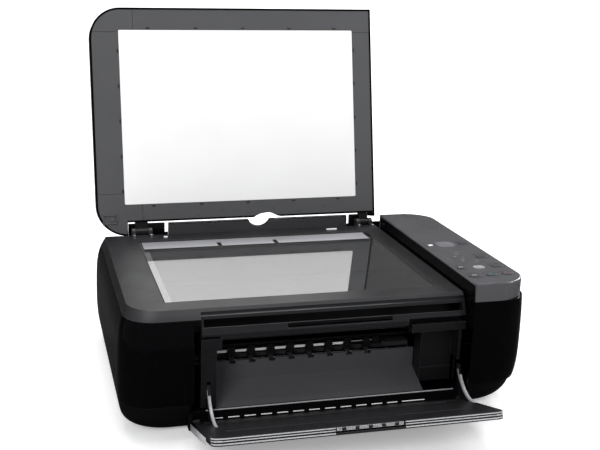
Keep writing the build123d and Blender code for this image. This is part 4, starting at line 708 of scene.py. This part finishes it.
# The same painted highlight stripes across the flap's rim.
bm = bmesh.new()
for turn in (62, 92, 122):
    y = -3.2 * MM - 2.3 * MM * cos(radians(turn))
    z = TRAY_TOP - 3.4 * MM + 2.3 * MM * sin(radians(turn))
    block(bm, (flap_low.x + 0.6 * MM, y - 0.35 * MM, z - 0.3 * MM),
          (flap_high.x - 0.6 * MM, y + 0.35 * MM, z + 0.3 * MM), 0.1 * MM, on_tray)
finished("flap_rim_highlights", bm, "tray_flap", painted_highlight_trim)

# The rim's painted highlight stripes carried round its two rounded corners.
bm = bmesh.new()
for side in (-1, 1):
    middle = tray_x[0] + RIM_CORNER if side < 0 else tray_x[1] - RIM_CORNER
    line = [(cos(a) * (RIM_CORNER + 0.14 * MM), sin(a) * (RIM_CORNER + 0.14 * MM))
            for a in (radians(90 * k / 10) for k in range(11))]
    for depth in (-7.4 * MM, -4.6 * MM, -2.2 * MM):
        for one, two in zip(line, line[1:]):
            foot = Vector((middle + side * one[0], depth, TRAY_TOP - RIM_CORNER + one[1]))
            end = Vector((middle + side * two[0], depth, TRAY_TOP - RIM_CORNER + two[1]))
            inward = Vector((side * -0.5 * MM, 0.0, 0.0))
            points = [foot, end, end + inward, foot + inward]
            lower = [bm.verts.new(on_tray @ p) for p in points]
            upper = [bm.verts.new(on_tray @ (p + Vector((0, 1.3 * MM, 0)))) for p in points]
            bm.faces.new(lower)
            bm.faces.new(upper[::-1])
            for k in range(4):
                bm.faces.new((lower[k], upper[k], upper[(k + 1) % 4], lower[(k + 1) % 4]))
finished("tray_corner_highlights", bm, "tray", painted_highlight_trim)

ARM_ARC_MIDDLE = (36.3 * MM, 41.3 * MM)
ARM_ARC_RADIUS = 37.35 * MM
ARM_BAND = 5.2 * MM
# Pale bands and a strip on the arms' curved front edges: painted highlights where these edges catch
# the light.
bm = bmesh.new()
for low_x, high_x in ((tray_x[0] + 14.75 * MM, tray_x[0] + 14.9 * MM),
                      (tray_x[1] - 3.1 * MM, tray_x[1] - 2.95 * MM)):
    rows = []
    for k in range(13):
        turn = radians(182 + 82 * k / 12)
        row = []
        for x, out in ((low_x, 0.0), (high_x, 0.0), (high_x, ARM_BAND), (low_x, ARM_BAND)):
            reach = ARM_ARC_RADIUS + min(out, out * 0.25 + 0.14 * MM * k)
            y = max(ARM_ARC_MIDDLE[0] + reach * cos(turn), -0.9 * MM)
            row.append(bm.verts.new(on_tray @ Vector((x, y, ARM_ARC_MIDDLE[1] + reach * sin(turn)))))
        rows.append(row)
    for one, two in zip(rows, rows[1:]):
        for k in range(4):
            bm.faces.new((one[k], one[(k + 1) % 4], two[(k + 1) % 4], two[k]))
    bm.faces.new(rows[0][::-1])
    bm.faces.new(rows[-1])
for low_x in (tray_x[0] + 15.0 * MM, tray_x[1] - 2.8 * MM):
    line = [(ARM_ARC_MIDDLE[0] + ARM_ARC_RADIUS * cos(radians(turn)),
             ARM_ARC_MIDDLE[1] + ARM_ARC_RADIUS * sin(radians(turn))) for turn in range(182, 262, 8)]
    strip(bm, line, 1, low_x, low_x + 2.8 * MM, 0.3 * MM, on_tray)
block(bm, (tray_x[0] - 4.72 * MM, -8.3 * MM, 4 * MM), (tray_x[0] - 4.6 * MM, -0.9 * MM, 95 * MM),
      0.03 * MM, on_tray)
finished("tray_arm_highlights", bm, "tray", painted_highlight_trim)

SILL_HIGHLIGHT_COUNT = 12
SILL_HIGHLIGHT_SPACING = 17.6
sill_front = tray_y + 2.9 * MM
# Short near-white dashes along the gap at the sill: painted highlights.
bm = bmesh.new()
for k in range(SILL_HIGHLIGHT_COUNT):
    x = tray_x[0] + (19 + SILL_HIGHLIGHT_SPACING * k) * MM
    block(bm, (x, sill_front - 0.9 * MM, tray_z + 0.2 * MM),
          (x + 12 * MM, sill_front + 0.3 * MM, tray_z + 1.0 * MM), 0.2 * MM)
x = tray_x[0] + 19 * MM + SILL_HIGHLIGHT_SPACING * MM * SILL_HIGHLIGHT_COUNT
block(bm, (x, sill_front - 0.9 * MM, tray_z + 0.2 * MM),
      (x + 26 * MM, sill_front + 0.3 * MM, tray_z + 1.0 * MM), 0.2 * MM)
finished("sill_gap_highlights", bm, "base", painted_highlight_white)

# A pale line on the sill's lip: painted highlight.
bm = bmesh.new()
block(bm, (tray_x[0] + 13 * MM, sill_front - 0.2 * MM, 24.9 * MM),
      (tray_x[1] - 9 * MM, sill_front + 0.9 * MM, 26.15 * MM), 0.25 * MM)
finished("sill_edge_highlight", bm, "base", painted_highlight_trim)

# %% [markdown]
# ## The tray's floor
# Low moulded lines stiffen the floor and frame the flap, and the flap's hinge shows knuckles.

# %% Moulded lines and flap knuckles
bm = bmesh.new()
for low_x, high_x, up in ((tray_x[0] + 26 * MM, tray_x[1] - 26 * MM, 18),
                          (tray_x[0] + 20 * MM, flap_low.x - 6 * MM, 68),
                          (flap_high.x + 6 * MM, tray_x[1] - 20 * MM, 68)):
    block(bm, (low_x, -1.0 * MM, up * MM), (high_x, -0.45 * MM, (up + 0.7) * MM), 0.15 * MM, on_tray)
for x in (flap_low.x - 3 * MM, flap_high.x + 1 * MM):
    block(bm, (x, -1.0 * MM, 70 * MM), (x + 2 * MM, -0.2 * MM, 99 * MM), 0.3 * MM, on_tray)
finished("tray_floor_lines", bm, "tray", tray_abs)

KNUCKLE_COUNT = 5
KNUCKLE_PITCH = 13.5
bm = bmesh.new()
for k in range(KNUCKLE_COUNT):
    x = flap_low.x + (6 + KNUCKLE_PITCH * k) * MM
    turned(bm, (x, -3.2 * MM, TRAY_TOP - 3.4 * MM), 2.7 * MM, 4.4 * MM, "X", 0.4 * MM, 20, on_tray)
finished("flap_knuckles", bm, "tray_flap", tray_abs)

# %% [markdown]
# ## Inside the mouth
# Thin toothed wheels touch the fresh print without smearing it. They turn on a steel rod, above ribs
# that stiffen the wall behind; seven short near-white blocks along the rod are painted highlights
# where it shows bright between their holders.

# %% Star wheels, painted highlights on the axle and wall ribs
STAR_PITCH = 22 * MM
STAR_PAIRS = 9
STAR_TIPS = 18
STAR_THICKNESS = 0.35 * MM
AXLE_HIGHLIGHT_COUNT = 7
axle_low, axle_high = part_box("star_axle")
axle_y = (axle_low.y + axle_high.y) / 2
axle_z = (axle_low.z + axle_high.z) / 2
bm = bmesh.new()
for k in range(STAR_PAIRS):
    middle = axle_low.x + (1 + STAR_PITCH * k / MM) * MM
    for shift in (-2.4 * MM, 1.9 * MM):
        x = middle + shift
        rings = []
        for at_x in (x, x + STAR_THICKNESS):
            ring = []
            for step in range(2 * STAR_TIPS):
                out = (4.1 if step % 2 else 3.2) * MM
                turn = pi * step / STAR_TIPS
                ring.append(bm.verts.new((at_x, axle_y + out * cos(turn), axle_z + out * sin(turn))))
            rings.append(ring)
        bm.faces.new(rings[0])
        bm.faces.new(rings[1][::-1])
        for step in range(2 * STAR_TIPS):
            after = (step + 1) % (2 * STAR_TIPS)
            bm.faces.new((rings[0][step], rings[0][after], rings[1][after], rings[1][step]))
finished("thin_star_wheels", bm, "base", ground_steel)

# The seven near-white blocks on the axle are painted highlights of the bright rod between the wheel
# holders.
bm = bmesh.new()
for k in range(AXLE_HIGHLIGHT_COUNT):
    x = axle_low.x + (4.4 + STAR_PITCH * k / MM) * MM
    block(bm, (x, axle_low.y - 0.5 * MM, axle_low.z - 0.1 * MM),
          (x + 13.5 * MM, axle_low.y + 0.9 * MM, axle_high.z - 1.0 * MM), 0.3 * MM)
finished("axle_highlights", bm, "base", painted_highlight_white)

guide_low, guide_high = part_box("output_guide")
RIB_COUNT = 10
RIB_PITCH = 24
bm = bmesh.new()
for k in range(RIB_COUNT):
    x = guide_low.x + (10 + RIB_PITCH * k) * MM
    block(bm, (x, guide_high.y - 1.0 * MM, guide_high.z - 3.0 * MM),
          (x + 0.8 * MM, guide_high.y + 3.4 * MM, guide_high.z + 0.4 * MM), 0.15 * MM)
finished("guide_ribs", bm, "base", paper_path_abs)

# %% [markdown]
# ## The control panel
# Each key has a dark arc on two of its sides, a frame below the display holds a list of pale
# lines, and a small lamp sits beside the display. The marks are plain shapes that name nothing.

# %% Key arcs, key marks, lamp and list
panel_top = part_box("control_panel")[1].z


def arc(bm, middle, radius, start, stop, z, wide=0.8 * MM, tall=0.08 * MM, steps=14):
    """A thin raised arc that lies on a level surface."""
    rows = []
    for k in range(steps + 1):
        turn = radians(start + (stop - start) * k / steps)
        way = Vector((cos(turn), sin(turn)))
        row = []
        for out, up in ((radius, 0), (radius, tall), (radius + wide, tall), (radius + wide, 0)):
            row.append(bm.verts.new((middle[0] + way.x * out, middle[1] + way.y * out, z + up)))
        rows.append(row)
    for one, two in zip(rows, rows[1:]):
        for k in range(4):
            bm.faces.new((one[k], one[(k + 1) % 4], two[(k + 1) % 4], two[k]))
    bm.faces.new(rows[0][::-1])
    bm.faces.new(rows[-1])


bm = bmesh.new()
for name in ("copies_key", "scan_key", "fit_to_page_key", "power_key", "black_start_key",
             "colour_start_key", "stop_key"):
    low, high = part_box(name)
    middle = ((low.x + high.x) / 2, (low.y + high.y) / 2)
    reach = (high.x - low.x) / 2 + 1.2 * MM
    arc(bm, middle, reach, 200, 340, panel_top - 0.02 * MM)
    arc(bm, middle, reach, 20, 160, panel_top - 0.02 * MM)
finished("key_arcs", bm, "base", dark_ink)

mark_specs = (("colour_start_key", teal_ink, "colour_start_button", "colour_mark"),
              ("stop_key", red_ink, "stop_button", "stop_mark"),
              ("black_start_key", white_ink, "black_start_button", "black_mark"),
              ("power_key", white_ink, "power_button", "power_mark"))
for name, ink, body, title in mark_specs:
    low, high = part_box(name)
    middle = ((low.x + high.x) / 2, (low.y + high.y) / 2)
    bm = bmesh.new()
    arc(bm, middle, 1.7 * MM, -60, 240, high.z - 0.03 * MM, 0.5 * MM)
    finished(title, bm, body, ink)

LAMP_X = (161.2 * MM, 166.4 * MM)
display_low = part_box("display_window")[0]
bm = bmesh.new()
block(bm, (LAMP_X[0], display_low.y + 8.0 * MM, panel_top - 0.3 * MM),
      (LAMP_X[1], display_low.y + 13.0 * MM, panel_top + 0.12 * MM), 0.4 * MM)
finished("panel_lamp", bm, "base", lamp_lens)

bm = bmesh.new()
MENU_LINES = 6
menu_x = (160 * MM, 192 * MM)
menu_y = (display_low.y - 62 * MM, display_low.y - 18 * MM)
for low, high in (((menu_x[0], menu_y[0]), (menu_x[1], menu_y[0] + 0.5 * MM)),
                  ((menu_x[0], menu_y[1]), (menu_x[1], menu_y[1] + 0.5 * MM)),
                  ((menu_x[0], menu_y[0]), (menu_x[0] + 0.5 * MM, menu_y[1])),
                  ((menu_x[1], menu_y[0]), (menu_x[1] + 0.5 * MM, menu_y[1]))):
    block(bm, (*low, panel_top - 0.05 * MM), (*high, panel_top + 0.05 * MM), 0.02 * MM)
for k in range(MENU_LINES):
    y = menu_y[0] + (6 + 6.2 * k) * MM
    block(bm, (menu_x[0] + 4 * MM, y, panel_top - 0.05 * MM),
          (menu_x[0] + (17 + 3 * (k % 3)) * MM, y + 1.1 * MM, panel_top + 0.05 * MM), 0.02 * MM)
finished("menu_list", bm, "base", key_abs)

# %% [markdown]
# ## Back and underside
# The back has screws at three corners, metal pins in the mains inlet and a row of vents, drawn as
# dark bars that are painted shade in the slots.
# Underneath, a blank rating plate is set into the case.

# %% Screws, painted shade of the vents, rating plate and inlet pins
rear_low, rear_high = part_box("rear_cover")
bm = bmesh.new()
for x, z in ((rear_low.x + 12 * MM, rear_low.z + 10 * MM),
             (rear_high.x - 9 * MM, rear_low.z + 10 * MM),
             (rear_low.x + 12 * MM, rear_high.z - 8 * MM)):
    turned(bm, (x, rear_high.y - 1.0 * MM, z), 2.7 * MM, -1.3 * MM, "Y", -0.3 * MM)
finished("rear_screws", bm, "base", bright_screw_steel)

VENT_COUNT = 14
VENT_PITCH = 5
# The vent slots are dark bars: painted shade where the slots are dark inside.
bm = bmesh.new()
for k in range(VENT_COUNT):
    x = rear_low.x + (34 + VENT_PITCH * k) * MM
    block(bm, (x, rear_high.y - 1.2 * MM, rear_low.z + 14 * MM),
          (x + 2.2 * MM, rear_high.y - 0.05 * MM, rear_low.z + 40 * MM), 0.3 * MM)
finished("vent_slot_shade", bm, "base", dark_ink)

case_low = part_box("bottom_case")[0]
bm = bmesh.new()
block(bm, (-50 * MM, -30 * MM, case_low.z - 0.1 * MM),
      (40 * MM, 20 * MM, case_low.z + 0.6 * MM), 0.05 * MM)
finished("rating_plate", bm, "base", dark_pearl_trim)

sleeve_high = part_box("rear_sockets")[1]
INLET_X = 134 * MM
INLET_Z = 50
PIN_OFFSET = 4.2
bm = bmesh.new()
for k in (-1, 1):
    turned(bm, (INLET_X, sleeve_high.y - 9 * MM, (INLET_Z + PIN_OFFSET * k) * MM), 0.9 * MM,
           -8 * MM, "Y", -0.2 * MM, 14)
finished("inlet_pins", bm, "base", bright_screw_steel)

# %% [markdown]
# ## Floor, backdrop and lights
# A pale sheet runs under the printer and sweeps up behind it, and large soft panels light it.
# Polished black shows whatever stands round it, so in reflections the sheet is kept dark: that
# leaves the covers black, as black cards set round a polished product would.

# %% Floor, backdrop and soft light
FLOOR_DROP = 0.4 * MM
floor_mesh = bmesh.new()
sweep = [(-2.6, 0.0), (0.9, 0.0), (1.2, 0.04), (1.5, 0.16), (1.75, 0.40), (1.9, 0.8), (1.95, 2.6)]
columns = [[floor_mesh.verts.new((x, y, z - FLOOR_DROP)) for y, z in sweep] for x in (-3.2, 3.2)]
for k in range(len(sweep) - 1):
    floor_mesh.faces.new((columns[0][k], columns[1][k], columns[1][k + 1], columns[0][k + 1]))
floor_data = bpy.data.meshes.new("studio_floor")
floor_mesh.to_mesh(floor_data)
floor_mesh.free()
floor_data.shade_smooth()
floor = bpy.data.objects.new("studio_floor", floor_data)
bpy.context.scene.collection.objects.link(floor)
paper, paper_place = start_material("studio_paper")
paper_noise = add(paper, "TexNoise", Vector=paper_place, Scale=900.0, Detail=2.0)
paper_bump = add(paper, "Bump", Strength=0.05, Distance=0.2 * MM, Height=paper_noise.outputs[0])
mirrored = add(paper, "LightPath")
paper_tone = add(paper, "Mix", {"data_type": "RGBA"}, s0=mirrored.outputs["Is Glossy Ray"],
                 s6=colour("f7f7f6"), s7=colour("2a2a2a"))
paper_glow = add(paper, "MapRange", Value=mirrored.outputs["Is Glossy Ray"],
                 To_Min=0.3, To_Max=0.0)
paper_shader = add(paper, "BsdfPrincipled", Base_Color=paper_tone.outputs[2], Roughness=0.7,
                   Emission_Color=colour("ffffff"), Emission_Strength=paper_glow.outputs[0],
                   Normal=paper_bump.outputs[0])
close_material(paper, paper_shader)
floor_data.materials.append(paper)


def soft_panel(name, place, aim, size, power, tint=(1.0, 1.0, 1.0)):
    """A square of even light that faces a point."""
    data = bpy.data.lights.new(name, "AREA")
    data.shape = "RECTANGLE"
    data.size, data.size_y = size
    data.energy = power
    data.color = tint
    lamp = bpy.data.objects.new(name, data)
    lamp.location = place
    lamp.rotation_euler = (Vector(aim) - Vector(place)).to_track_quat("-Z", "Y").to_euler()
    bpy.context.scene.collection.objects.link(lamp)
    return lamp


soft_panel("over_light", (0.0, 0.25, 1.9), (0.0, 0.0, 0.1), (1.6, 1.2), 26)
front_light = soft_panel("front_light", (-1.3, -1.9, 1.5), (0.0, 0.0, 0.15), (1.0, 0.9), 30)
front_light.visible_glossy = False
soft_panel("right_light", (1.8, -1.0, 1.0), (0.0, 0.0, 0.1), (0.7, 0.9), 10)
soft_panel("rear_light", (1.9, 1.3, 1.2), (0.1, 0.0, 0.1), (0.9, 0.9), 30)

world = bpy.data.worlds.new("studio_air")
world.use_nodes = True
world.node_tree.nodes["Background"].inputs[0].default_value = (0.9, 0.92, 0.95, 1.0)
world.node_tree.nodes["Background"].inputs[1].default_value = 0.35
bpy.context.scene.world = world
bpy.context.scene.view_settings.view_transform = "Standard"

# %% [markdown]
# ## The camera
# The viewer stands a little to the left and looks down over the open tray. How far in front the
# camera stands is measured from the line of the lid hinge.

# %% Camera beside the open tray
hinge_spot = Vector(joints["lid_hinge"]["pos_m"])
yaw, pitch, roll = radians(13.975), radians(15.644), radians(-1.207)
ahead = Vector((sin(yaw) * cos(pitch), cos(yaw) * cos(pitch), -sin(pitch)))
level = Vector((cos(yaw), -sin(yaw), 0.0))
down = ahead.cross(level)
across = cos(roll) * level + sin(roll) * down
under = -sin(roll) * level + cos(roll) * down
camera_data = bpy.data.cameras.new("viewer")
camera_data.sensor_width = 36.0
camera_data.lens = 58.56
camera_data.shift_x = 0.0642
camera_data.shift_y = 0.0087
camera = bpy.data.objects.new("viewer", camera_data)
spot = (-303.7 * MM, hinge_spot.y - (141.3 + 1062.0) * MM, 479.3 * MM)
camera.matrix_world = Matrix((
    (across.x, -under.x, -ahead.x, spot[0]),
    (across.y, -under.y, -ahead.y, spot[1]),
    (across.z, -under.z, -ahead.z, spot[2]),
    (0.0, 0.0, 0.0, 1.0),
))
bpy.context.scene.collection.objects.link(camera)
bpy.context.scene.camera = camera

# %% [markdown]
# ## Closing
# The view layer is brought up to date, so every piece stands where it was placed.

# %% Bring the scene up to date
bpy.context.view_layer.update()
